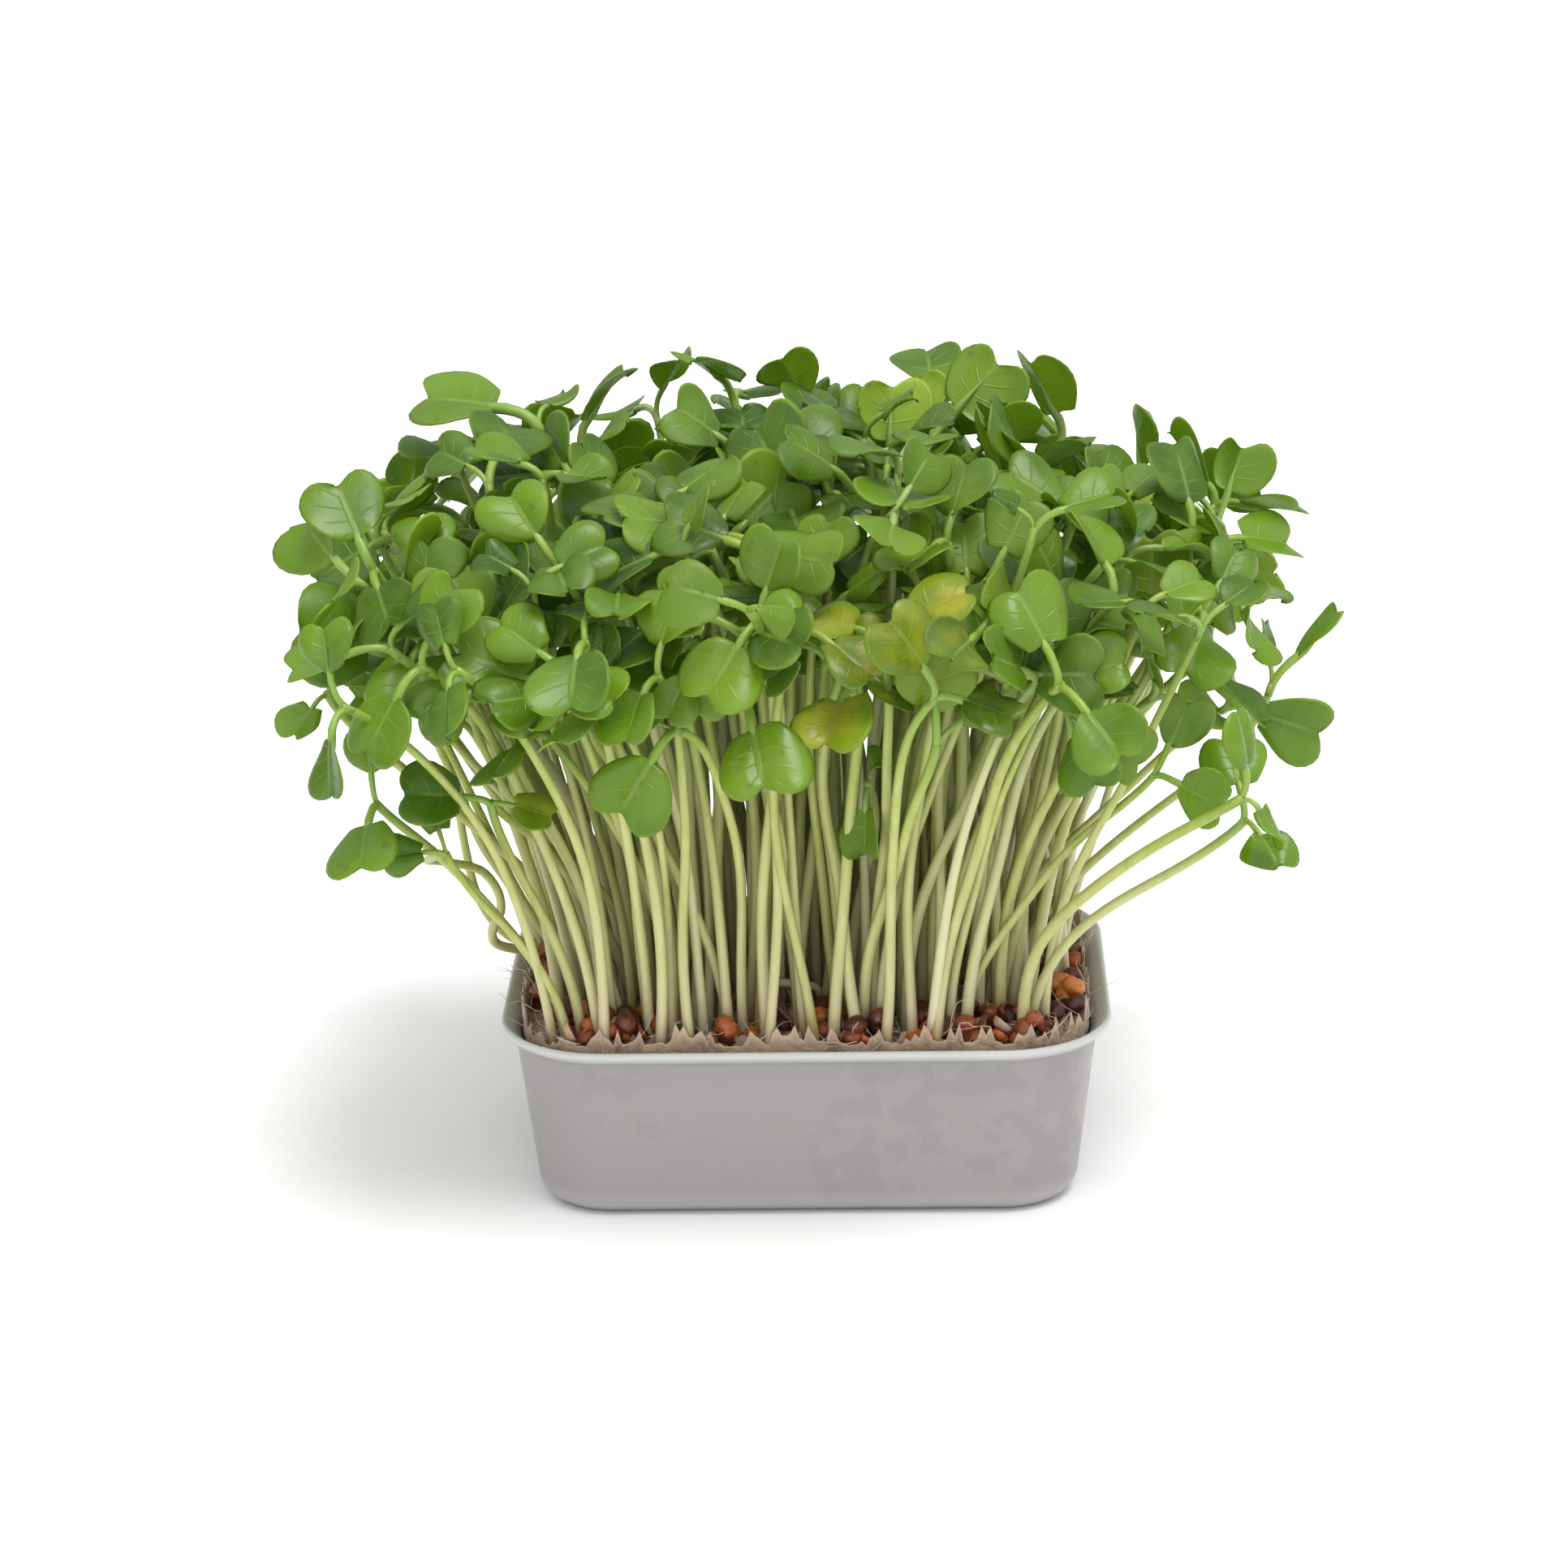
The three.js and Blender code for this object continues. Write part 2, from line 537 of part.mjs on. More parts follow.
function pocketGeometry(spot) {
  const top = matTop(spot.x, spot.y);
  const radius = TUFT_RADIUS + POCKET_GAP / Math.cos(Math.PI / TUFT_SIDES);
  return prism(spot, radius, top - TUFT_DEPTH - POCKET_GAP, top + POCKET_OPENING);
}

function stemGeometry(sprout) {
  const { v0, v1, v2, v3 } = sprout.stem;
  const past = v3.clone().sub(v2).normalize().multiplyScalar(STEM_OVERRUN);
  const path = new THREE.CubicBezierCurve3(v0, v1, v2, v3.clone().add(past));
  const options = { steps: STEM_STEPS, extrudePath: path, bevelEnabled: false };
  return new THREE.ExtrudeGeometry(polygon(STEM_RADIUS, STEM_SIDES), options);
}

// Thin slab over a leaf's outline, folded along its midrib, split alike on both faces
function leafGeometry(sprout, leaf) {
  const places = [
    [LEAF_MIDDLE * leaf.size + leaf.petiole, 0],
    [LEAF_NOTCH * leaf.size + leaf.petiole, 0],
    [PETIOLE_START, 0],
  ];
  for (const side of [1, -1]) {
    for (const [along, across] of LEAF_OUTLINE) {
      places.push([along * leaf.size + leaf.petiole, side * across * leaf.size]);
    }
  }
  const [middle, notch, start] = [0, 1, 2];
  const left = [start, 3, 4, 5, 6];
  const right = [start, 7, 8, 9, 10];
  const top = [[start, right[1], left[1]], [middle, left[1], right[1]]];
  for (let i = 1; i < 3; i += 1) {
    top.push([middle, left[i + 1], left[i]], [middle, right[i], right[i + 1]]);
  }
  top.push([middle, notch, left[3]], [middle, right[3], notch]);
  top.push([notch, left[4], left[3]], [notch, right[3], right[4]]);
  const loop = [...left, notch, ...right.slice(1).reverse()];
  const count = places.length;
  const points = [];
  for (const lift of [LEAF_THICKNESS / 2, -LEAF_THICKNESS / 2]) {
    for (const [u, v] of places) {
      const { point, normal } = leafPoint(sprout, leaf, u, v);
      points.push(point.addScaledVector(normal, lift));
    }
  }
  const index = [];
  for (const [a, b, c] of top) {
    index.push(a, b, c, c + count, b + count, a + count);
  }
  loop.forEach((from, i) => {
    const to = loop[(i + 1) % loop.length];
    index.push(from, to, from + count, to, to + count, from + count);
  });
  const geometry = new THREE.BufferGeometry().setFromPoints(points);
  geometry.setIndex(index);
  return geometry;
}

function clumpGeometry(spot) {
  const pieces = [tuftGeometry(spot)];
  for (const sprout of spot.sprouts) {
    pieces.push(stemGeometry(sprout));
    pieces.push(...sprout.leaves.map((leaf) => leafGeometry(sprout, leaf)));
  }
  return geometryOf(joined(pieces));
}

// Seed coats: a pile grows by adding a seed beside one of its own where there is room
function onMat(x, y) {
  const outside = Math.hypot(Math.max(Math.abs(x) - SEED_AREA.x, 0), Math.max(Math.abs(y) - SEED_AREA.y, 0));
  return outside < SEED_AREA.z;
}

function seedSpots(startX, startY, taken) {
  const seeds = [];
  for (let attempt = 0; attempt < SEED_TRIES && seeds.length < SEEDS_PER_PILE; attempt += 1) {
    const host = seeds[Math.floor(draw.unit() * seeds.length)];
    const angle = draw.between(0, 2 * Math.PI);
    const reach = host ? SEED_PITCH : draw.between(0, SEED_FIRST_REACH);
    const x = (host ? host.x : startX) + reach * Math.cos(angle);
    const y = (host ? host.y : startY) + reach * Math.sin(angle);
    const seed = new THREE.Vector3(x, y, matTop(x, y) + SEED_LIFT + draw.between(0, SEED_HEAP));
    const turn = draw.between(0, Math.PI);
    const tilt = draw.between(-SEED_TILT, SEED_TILT);
    const free = taken.every((point) => point.distanceTo(seed) > SEED_CLEAR);
    const apart = seeds.every((other) => other === host || other.distanceTo(seed) > SEED_APART);
    if (onMat(x, y) && free && apart) {
      seeds.push(Object.assign(seed, { turn, tilt }));
    }
  }
  return seeds;
}

function seedGeometry(seed) {
  const geometry = new THREE.IcosahedronGeometry(1, 0);
  geometry.scale(SEED_HALF.x, SEED_HALF.y, SEED_HALF.z);
  geometry.rotateY(seed.tilt);
  geometry.rotateZ(seed.turn);
  geometry.translate(seed.x, seed.y, seed.z);
  return geometry;
}

// Colours and finishes
function material(color, roughness) {
  return new THREE.MeshStandardMaterial({ color, roughness, metalness: 0 });
}

const trayPlastic = () => material(0xc9c8c8, 0.35);
const matFibre = () => material(0xc0a68c, 0.95);
const seedCoat = () => material(0x8c3f20, 0.5);
const sproutGreen = () => material(0x5d8f3a, 0.5);

function named(name, geometry, finish) {
  const mesh = new THREE.Mesh(geometry, finish);
  mesh.name = name;
  return mesh;
}

// Seeds keep clear of every stem near the mat and of the tufts
function takenByRoots(spots, placed) {
  const low = placed.flatMap(({ samples }) => samples.map((sample) => sample.point))
    .filter((point) => point.z < LOW_STEM);
  const tufts = spots.flatMap((spot) => Array.from({ length: TUFT_SIDES }, (_, i) => {
    const angle = spot.turn + i / TUFT_SIDES * 2 * Math.PI;
    const x = spot.x + TUFT_RADIUS * Math.cos(angle);
    const y = spot.y + TUFT_RADIUS * Math.sin(angle);
    return new THREE.Vector3(x, y, matTop(x, y));
  }));
  return [...low, ...tufts];
}

const { spots, placed } = grownClumps();
const part = new THREE.Group();
part.add(named('tray', trayGeometry(), trayPlastic()));
const pockets = spots.map((spot) => solid(pocketGeometry(spot)));
const matBody = pockets.reduce((body, pocket) => body.subtract(pocket), solid(matGeometry()));
part.add(named('growing_mat', geometryOf(matBody), matFibre()));
const taken = takenByRoots(spots, placed);
for (const [name, x, y] of SEED_PILES) {
  const seeds = seedSpots(x, y, taken);
  part.add(named(name, geometryOf(joined(seeds.map(seedGeometry))), seedCoat()));
}
spots.forEach((spot, i) => {
  part.add(named(`sprouts_${String(i + 1).padStart(2, '0')}`, clumpGeometry(spot), sproutGreen()));
});

export default part;
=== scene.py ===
# Tray of cress microgreens. The layout rule of the solids is followed again, and each solid is replaced by a
# finer piece of the same form. Lengths are millimetres until a mesh is made.
import math

import bpy
import numpy as np
from mathutils import Matrix, Vector, noise


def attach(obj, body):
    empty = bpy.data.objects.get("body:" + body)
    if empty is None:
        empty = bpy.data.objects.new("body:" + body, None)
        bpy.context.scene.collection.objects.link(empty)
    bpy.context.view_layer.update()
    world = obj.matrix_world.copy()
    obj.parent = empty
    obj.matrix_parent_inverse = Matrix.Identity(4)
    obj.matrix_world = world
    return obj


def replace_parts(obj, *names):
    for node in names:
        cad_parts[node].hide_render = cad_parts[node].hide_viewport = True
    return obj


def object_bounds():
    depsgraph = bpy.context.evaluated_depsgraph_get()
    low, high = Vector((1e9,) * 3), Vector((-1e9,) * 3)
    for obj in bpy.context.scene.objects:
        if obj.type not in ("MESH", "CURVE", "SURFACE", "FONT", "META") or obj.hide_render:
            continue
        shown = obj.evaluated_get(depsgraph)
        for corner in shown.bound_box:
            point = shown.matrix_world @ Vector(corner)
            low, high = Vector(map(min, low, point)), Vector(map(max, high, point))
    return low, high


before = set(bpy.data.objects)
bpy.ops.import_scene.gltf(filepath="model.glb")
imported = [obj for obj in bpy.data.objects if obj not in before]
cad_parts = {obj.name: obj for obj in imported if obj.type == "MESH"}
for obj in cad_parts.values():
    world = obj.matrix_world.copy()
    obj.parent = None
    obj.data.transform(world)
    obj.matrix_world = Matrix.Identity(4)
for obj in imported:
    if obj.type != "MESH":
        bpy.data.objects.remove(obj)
cad_low, cad_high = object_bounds()
MM = 0.001

# Camera and light
VIEW_PLACE = (15.87, -664.24, 285.41)
VIEW_YAW = -1.644
VIEW_PITCH = 18.669
VIEW_ROLL = -1.107
FOCAL_LENGTH = 102.48
SENSOR = 36
CLIP = (0.01, 20)
FLOOR_SIZE = 6000
SKY_LEVELS = (0.5, 1)
SUNS = (
    ("overhead", (0.2, -0.25, 1), 30, 2.2),
    ("window", (1, -0.3, 0.7), 50, 0.3),
    ("front", (-0.1, -1, 0.4), 60, 0.8),
)

# Tray
RIM_LENGTH = 95
RIM_WIDTH = 70
TRAY_HEIGHT = 29.5
RIM_RADIUS = 17
BASE_INSET = 5.1
BASE_ROUNDING = 4.2
LIP_REACH = 2.3
LIP_DROP = 2.6
WALL = 1
TRAY_STEPS = (18, 12)
ROUNDING_STEPS = 9
WALL_STEPS = (0.06, 0.97, 9)
LIP_STEPS = 24
LIP_PROFILE = (
    (LIP_REACH, 0), (1.5, 0.35), (0.7, 0.9), (0.12, 1.6), (0, 2.1), (0.5, LIP_DROP), (1.5, 1.9),
    (2.3, 1.2), (LIP_REACH + WALL, 0),
)

# Growing mat
MAT_SINK = 3
MAT_HALF = (43, 31)
MAT_EDGE_RISE = 1.8
MAT_EDGE_POWER = 6
MAT_LUMP = 0.45
MAT_LUMP_TURNS = (0.31, 0.37)
MAT_LUMP_SHIFT = 1.3
ROOT_MOUND = (0.9, 1.3)
MAT_STEPS = (20, 36)
MAT_SHELF = 3.6
MAT_UNDERSIDE = ((7.2, 1.5), (5.7, 2.2), (5.1, 8), (4.3, 22))
MAT_EDGE_RINGS = (4.0, 4.25, 4.7, 5.3, 6.0, 6.7)
MAT_INNER_RINGS = (7.4, 33.6, 40)
MAT_LOW = 1.5
MAT_ROUGH_SCALE = 0.35
MAT_ROUGH_HEIGHT = 0.5
MAT_FINE_SCALE = 1.1
MAT_FINE_HEIGHT = 0.3
MAT_WANDER = 0.01
MAT_WANDER_FROM = 5
FELT_RINGS = ((3.9, 1), (6.8, 0.6))
FELT_STEPS = (30, 90)
FELT_ROWS = 7
FELT_DEPTH = 1.4
FELT_HALF = (0.45, 0.05)
FELT_RISE = (1.2, 5.4)
FELT_PEAK_SCALE = 0.22
FELT_PEAK_NARROWING = 2.2
FELT_PEAK_SHARE = 0.85
FELT_FRAY_SCALE = 0.8
FELT_FRAY_SHARE = 0.25
FELT_LEAN_START = 2
FELT_LEAN_SLOPE = 0.4
FELT_SWAY = 0.6
FELT_SWAY_SCALE = 0.25
FELT_CRUMPLE = 0.35
FELT_CRUMPLE_SCALE = 0.9
FELT_TIP_RISE = 1.2
MAT_FIBRES = 1500
EDGE_FIBRES = 300
FIBRE_AREA = (42.5, 30.5)
FIBRE_LENGTH = (1.5, 6)
FIBRE_RADIUS = (0.04, 0.1)
FIBRE_STEPS = 6
FIBRE_SIDES = 3
FIBRE_THINNING = 0.55
FIBRE_WAVER = 0.22
FIBRE_LIFT = 0.9
LYING_RISE = (-0.1, 0.35)
STANDING_RISE = (-0.2, 1.1)
FIBRE_ACROSS = (0.3, 0.2, 0.93)
HAIRS_PER_STEM = 5
HAIR_STEPS = 5
HAIR_LENGTH = (1.2, 3.4)
HAIR_RADIUS = 0.05
HAIR_OUT = 0.7
HAIR_HEIGHT = (0.4, 2.6)
HAIR_RISE = (-0.7, 0.25)
HAIR_WAVER = 0.3

# Clumps of sprouts, as in the solids
CLUMP_ROWS = 5
CLUMP_COLUMNS = 7
CLUMP_PITCH = (11.5, 12)
CLUMP_JITTER = 1.2
TUFT_SIDES = 5
TUFT_RADIUS = 3.1
ROOT_OFFSET = 1.5
ROOT_DEPTH = 1.8
SPROUTS_PER_CLUMP = 3
BEZIER_START = 0.38
BEZIER_END = 0.28
SEED = 555
TRIES = 60
NUDGE = 0.12
NUDGE_TURN = 6
LEADER_PETIOLE = (1.5, 0.3)
LEADER_UPRIGHT = 0.5
HEAD_SPREAD = 1.75
SPREAD_RANGE = (0.85, 1.15)
HEAD_SCATTER = 6
HEAD_LIMIT = 66
HEAD_HEIGHT = 105
HEAD_FALL = (15, 10)
ROOT_REACH = (40, 28)
HEAD_DROP_RANGE = (-17, 5)
LEAN_REACH = (95, 80)
LEAN_SCATTER = 0.45
LEAN_RISE = 0.75
CURL_RANGE = (-2, 20)
LEAF_SIZE_RANGE = (10, 13.5)
SECOND_LEAF_RANGE = (0.7, 1)
FOLD_RANGE = (0, 0.3)
KICK = 4
PETIOLE_RANGE = (3.5, 6)
OPENING_RANGE = (50, 90)
TWIST = 0.35
CLEAR = 2.2
SAMPLE_STEP = 1.7
PETIOLE_STEP = 1.5
LEAF_GRID = (
    (0.14, 0), (0.14, 0.17), (0.28, 0), (0.28, 0.16), (0.28, 0.36), (0.43, 0), (0.43, 0.15), (0.43, 0.3),
    (0.43, 0.46), (0.58, 0), (0.58, 0.15), (0.58, 0.3), (0.58, 0.47), (0.72, 0.1), (0.72, 0.25),
    (0.72, 0.4), (0.83, 0.16), (0.83, 0.3),
)

# Sprouts that stand out at the edge of the crown or hang in front of the stems. Each row gives the wanted
# root (x, y), the head where the leaves part (x, y, z), then for each of the two leaves the way it points
# (azimuth, elevation), the tilt of its upper face from the front to the sky, and its width, and last the
# curl per 10 mm and the fold along the midrib.
LEADERS = (
    (-35, 2, -73, -12, 81, -128, -35, 72, 7.5, 42, 48, 16, 6, 6, 0.3),
    (-32, -12, -60, -18, 88, -140, 22, 19, 15.5, 69, 48, -32, 8, 8, 0.25),
    (-35, -5, -57, -12, 78, -174, -13, 34, 10.5, 145, 28, 20, 7, 6, 0.2),
    (-38, -20, -53, -36, 63, -159, 5, 42, 7.5, 135, 65, 71, 6, 8, 0.1),
    (-31, -24, -46, -36, 71, -157, 16, 46, 11, -22, -5, 49, 8, 12, 0.1),
    (-10, -24, -18, -52, 87, -144, -51, 16, 12.5, 133, 10, 19, 4, 4, 0.12),
    (-2, -20, -7, -51, 92, -70, -55, -12, 13.5, -22, 34, 45, 8.5, -10, 0.2),
    (-2, -27, -5, -52, 97, 115, 61, 97, 13, -172, 34, 40, 12, 6, 0.08),
    (-24, -26, -34, -47, 91, 174, 22, 41, 14, -143, 5, 44, 10, 4, 0.08),
    (-18, -27, -32, -50, 102, -89, -23, 125, 12.5, 82, 30, 10, 9.5, 22, 0.1),
    (-26, -16, -48, -38, 92, 113, 65, 28, 12.5, 47, 38, -10, 10, 4, 0.18),
    (-7, -14, -11, -28, 110, -157, 16, 59, 13, -30, -12, 75, 12, 4, 0.1),
    (-3, -6, -12, -18, 104, 25, 39, 17, 13.5, 124, 51, 81, 11, 4, 0.08),
    (-15, -8, -27, -18, 97, 99, 66, 96, 16, -172, 12, 48, 11, 3, 0.05),
    (-27, 14, -42, 20, 116, 165, 10, 71, 16.5, 64, 10, 127, 8, 6, 0.12),
    (-24, 6, -48, 1, 111, 80, 20, 13, 13.5, 142, 15, 42, 9, 6, 0.1),
    (-19, 16, -36, 24, 109, 56, 67, 106, 13, 145, -26, 18, 6, 28, 0.3),
    (3, 18, 7, 27, 108, 120, 35, 108, 12, 61, 39, 15, 9, 6, 0.25),
    (13, 20, 21, 30, 115, 95, 29, 38, 11.5, -36, -76, -78, 8, 10, 0.1),
    (16, 14, 22, 26, 111, 36, 22, -138, 13.5, 100, 31, 146, 8, 4, 0.12),
    (7, 8, 13, 16, 107, 82, 71, -108, 12, 173, 11, 45, 11, 4, 0.15),
    (34, 6, 65, 8, 101, 41, 62, -110, 10, 159, 49, 101, 9, 10, 0.3),
    (38, 0, 73, -2, 78, 18, 39, 101, 12, 118, 69, 105, 7, -4, 0.3),
    (36, -8, 66, -14, 78, -5, -20, -13, 12, 135, 59, 105, 8, 2, 0.05),
    (18, -29, 53, -38, 75, -38, -15, 5, 9.5, 18, 64, -19, 9.5, 6, 0.15),
    (11, -28, 35, -46, 116, -167, 35, 69, 6, 9, 20, 66, 10, 10, 0.3),
    (16, -26, 28, -44, 64, -9, 42, -9, 6, 160, 25, 43, 5, 40, 0.4),
    (7, -12, 10, -32, 72, -98, -71, 106, 9, 66, 25, 16, 5, 4, 0.25),
    (5, -22, 14, -53, 93, -179, 34, 36, 11.5, 46, 21, -10, 8, 18, 0.1),
    (9, -26, 12, -50, 99, 3, 38, 61, 11.5, 168, 9, 60, 9, 18, 0.2),
    (12, -18, 17, -46, 85, -113, 60, 23, 12, -1, 47, 61, 9.5, 6, 0.2),
    (24, -24, 37, -44, 91, 84, 66, -60, 12, -18, 5, 77, 10, 14, 0.12),
    (32, -14, 47, -34, 88, -4, -15, 4, 11.5, -6, 72, 78, 12, 6, 0.15),
    (26, -27, 39, -46, 88, -21, -38, -37, 11.5, -57, -57, -43, 10.5, 8, 0.12),
    (-37, -2, -61, -10, 99, 156, 10, 64, 13.5, 9, -9, 93, 11, 6, 0.2),
    (-35, 8, -64, -1, 103, 110, 19, 21, 13, 61, 57, -52, 9.5, 6, 0.3),
    (-31, 12, -53, 14, 104, 128, 9, 20, 11, 18, 14, 72, 12, 4, 0.1),
    (30, 10, 51, 12, 97, 57, 25, -149, 12, 127, 67, 94, 12, 8, 0.3),
    (28, -4, 50, -12, 90, 139, 64, 74, 14, 48, 58, -45, 14, 4, 0.15),
    (6, -6, 14, -14, 114, -90, 1, 147, 14.5, 89, 11, -1, 10, 4, 0.1),
    (10, -20, 20, -37, 106, -142, 2, 40, 13.5, 29, 72, 13, 12, 4, 0.1),
    (20, 0, 25, -8, 98, 128, 61, 24, 11, -32, -25, 58, 11, 8, 0.2),
    (-14, -26, -37, -41, 107, 14, 32, 47, 10, 151, 21, 55, 7, 10, 0.15),
    (-20, -22, -35, -44, 98, 149, 58, 94, 12, 26, -27, 19, 6, 8, 0.3),
    (-6, -18, -14, -43, 98, 118, 69, 69, 10.5, 165, 16, 83, 9, 6, 0.15),
    (-4, -28, -14, -50, 98, -132, -51, 60, 8.5, -41, -50, -13, 7.5, 10, 0.2),
)

# Piles of seed coats, as in the solids
SEED_PILES = (
    ("seed_husks_front_left", -32, -28),
    ("seed_husks_front_middle", 7, -30),
    ("seed_husks_front_right", 27, -29),
    ("seed_husks_right_side", 41, -4),
    ("seed_husks_left_side", -41, 2),
)
SEEDS_PER_PILE = 6
SEED_HALF = (1.8, 1.5, 1.35)
SEED_PITCH = 2.2
SEED_APART = 3.3
SEED_CLEAR = 2.75
SEED_LIFT = 1.55
SEED_TRIES = 400
SEED_FIRST_REACH = 4
SEED_HEAP = 0.5
SEED_TILT = 0.4
SEED_AREA = (29, 17, 13.2)
LOW_STEM = TRAY_HEIGHT + 5
# Each band gives a count of seeds and the corners of its area. The last band lays seeds behind the front
# stems, where they also stand in for the shade there: partly real seeds, partly painted shade.
SEED_BANDS = (
    (34, (-37, -29), (-20, -20)), (6, (-18, -29), (-2, -24)), (12, (2, -29), (13, -22)),
    (36, (18, -29), (38, -20)), (30, (34, -28), (42, 16)), (18, (-42, -27), (-34, 14)),
    (26, (-34, -22), (34, -8)),
)
SEED_FROM_STEM = 1.7
SEED_LYING = 1.1
SEED_STACK = 2.7
SEED_STACK_LIMIT = 4.5
SEED_RINGS = 10
SEED_SIDES = 13
SEED_SIZE_RANGE = (0.9, 1.15)
SEED_POLAR = (0.1, 0.97)
SEED_DENT_SCALE = 1.4
SEED_DENT_DEPTH = 0.2
SEED_MOUTH = (0, 0.4)
SEED_MOUTH_EDGE = 0.15
SEED_FOLDED = 0.8
SEED_OPEN_TURN = (-0.3, 1.5)
LOOSE_SEED_TILT = 0.9
OPEN_SHARE = 0.35
PALE_SHARE = 0.05

# Fine stems and leaves
STEM_STEPS = 22
STEM_SIDES = 8
STEM_RADIUS_RANGE = (0.66, 0.96)
STEM_TOP = 0.985
STEM_WIDE = 1.06
STEM_TAPER = 0.26
STEM_FOOT_FLARE = 0.35
STEM_FOOT_REACH = 0.03
STEM_ACROSS = (1, 0, 0)
STEM_WOBBLE_RANGE = (0.1, 0.6)
STEM_WOBBLE_TURNS = (1, 2.2)
STEM_TINT_SPREAD = 0.35
PETIOLE_POINTS = 12
BEND_POINTS = 5
PETIOLE_SIDES = 6
PETIOLE_RADIUS = 0.055
MIDRIB_REACH = 0.6
MIDRIB_TAPER = 1.4
MIDRIB_RADIUS = 0.05
MIDRIB_SINK_START = 0.5
MIDRIB_SINK_REACH = 2.5
STALK_START = (0.95, 0.97)
STALK_BEND = 0.45
STALK_STRAIGHT = 0.75
BLADE_ROWS = 15
BLADE_COLUMNS = (0, 0.1, 0.28, 0.5, 0.72, 0.9, 1)
BLADE_HALF_THICKNESS = 0.2
BLADE_THINNING = 0.4
OUTLINE_POINTS = 60
BASE_LOBE_AT = 0.28
BASE_LOBE_WIDTH = 0.12
BASE_LOBE_END = 0.4
TIP_START = 0.6
TIP_LENGTH = 0.2
NOTCH_WIDTH = 0.24
NARROW_REACH = 0.3
CREASE_ROUNDING = 0.4
TWIST_CENTRE = 0.3
SWELL_REACH = 1.1
WAVE_SIDE_SHIFT = 0.3
WAVE_POWER = 2.5
HEART_DEPTH = 0.12
NOTCH_DEPTH = 0.08
BLADE_OUTLINE = (
    (0, 0.04), (0.02, 0.16), (0.08, 0.31), (0.22, 0.44), (0.42, 0.51), (0.62, 0.5), (0.77, 0.41),
    (0.84, 0.27), (0.81, 0.12), (0.73, 0),
)
LEAF_TRAITS = (
    ("heart", -0.4, 1.2), ("notch", -0.9, 1), ("uneven", -0.13, 0.13), ("narrow", 0, 0.35),
    ("cup", -0.65, 0.5), ("skew", -0.28, 0.28), ("twist", -0.3, 0.3), ("swell", 0, 0.9),
    ("wave", 0.3, 1.1), ("turns", 0.7, 1.7), ("phase", 0, 1),
)
LEAF_TINT_SPREAD = 0.5
FRESH_TINT = (0.6, 0)
YELLOW_STRENGTH = (0.4, 1.4)
YELLOW_STRAY = (-0.85, 0.4)
WET_STRENGTH = (0.5, 1)
DAMP_MOST = 0.12
YELLOW_PLACE = (13, -47, 98)
YELLOW_REACH = 12
WET_FRONT = (-38, -50)
WET_HEIGHT = (98, 86)
FRESH_HEIGHT = (75, 105)

# Bent stems that loop out over the rim at the left, each from its root up into the leaves
STRAY_STEMS = (
    ((-39, 6, 25), (-42, 4, 31), (-46, 0, 33.5), (-49, -4, 36), (-49.5, -6, 39), (-48, -6, 42.5),
     (-48.5, -6, 46), (-51, -8, 50), (-56, -14, 53.5), (-57, -26, 58), (-53.5, -34.5, 62)),
    ((-38, 9, 25), (-42, 8, 30), (-48.5, 6, 34), (-52.5, 4, 41), (-54, 2, 50), (-55, -2, 62), (-57, -11, 77)),
    ((-39, 10, 25), (-42.5, 8, 31), (-45, 6, 38), (-48, 4, 44), (-51.5, 2, 51), (-54, -1, 60), (-57, -8, 72),
     (-60, -17, 87)),
    ((-28, 8, 26), (-35, 4, 29.5), (-40, 2, 33), (-43.5, 2, 38), (-47, 2, 45), (-51, 0, 56), (-57, -10, 76)),
    ((-24, -4, 25), (-24, -6, 29), (-26, -8, 35.5), (-28.5, -10, 42), (-32, -12, 48), (-37.5, -16, 55),
     (-43, -25, 63), (-46, -35, 70)),
)
STRAY_RADIUS = 0.8
STRAY_TAPER = (1.05, 0.8)
STRAY_STEPS = 44
STRAY_ACROSS = (0.2, 0.9, 0.3)
STRAY_COLOUR_START = 0.1
STRAY_COLOUR_SPAN = 0.7
STRAY_TINT_SPREAD = 0.3

# Sprout that withered between the front stems: pale loop above a brown tuft
WITHERED_LOOP = (
    (-5.5, -13, 29), (-5.6, -14, 31.6), (-4, -14.4, 33), (-1, -14.4, 32.6), (1.6, -14, 32), (2.4, -13, 29),
)
WITHERED_FOOT = (-2.4, -16.5, 26)
WITHERED_TOP = (-2.8, -14.4, 32.4)
WITHERED_FOOT_SPREAD = (2, 1.5, 0)
WITHERED_TOP_SPREAD = (3, 0.8, 0.6)
WITHERED_TINT = 0.7
WITHERED_STRANDS = 9
WITHERED_STEPS = 9
WITHERED_SIDES = 6
WITHERED_RADIUS = (0.35, 0.65)
WITHERED_WAVER = 0.08

# Sprouts added between the clumps
ADDED_SEED = 21
ADDED_PIECES = 5
ADDED_SPROUTS = 58
ADDED_ROOTS = ((-41, 41), (-30.5, 29))
ADDED_ROOT_APART = 1.6
ADDED_CLEAR = 0.75
ADDED_TRIES = 60
ADDED_GATHER = (0.6, 1)
ADDED_LOWER = (-12, 5)
ADDED_LOWEST_AT = (-30, 30)
ADDED_LOWEST = (91, 84)
ADDED_BOX_MARGIN = 1
LOOK_SEED = 8


# One repeatable stream of numbers for the layout, the same as the solids have
class Draw:
    def __init__(self, seed):
        self.state = seed

    def unit(self):
        self.state = self.state * 16807 % 2147483647
        return self.state / 2147483647

    def between(self, low, high):
        return low + (high - low) * self.unit()


def unit(vectors):
    return vectors / np.linalg.norm(vectors, axis=-1, keepdims=True)


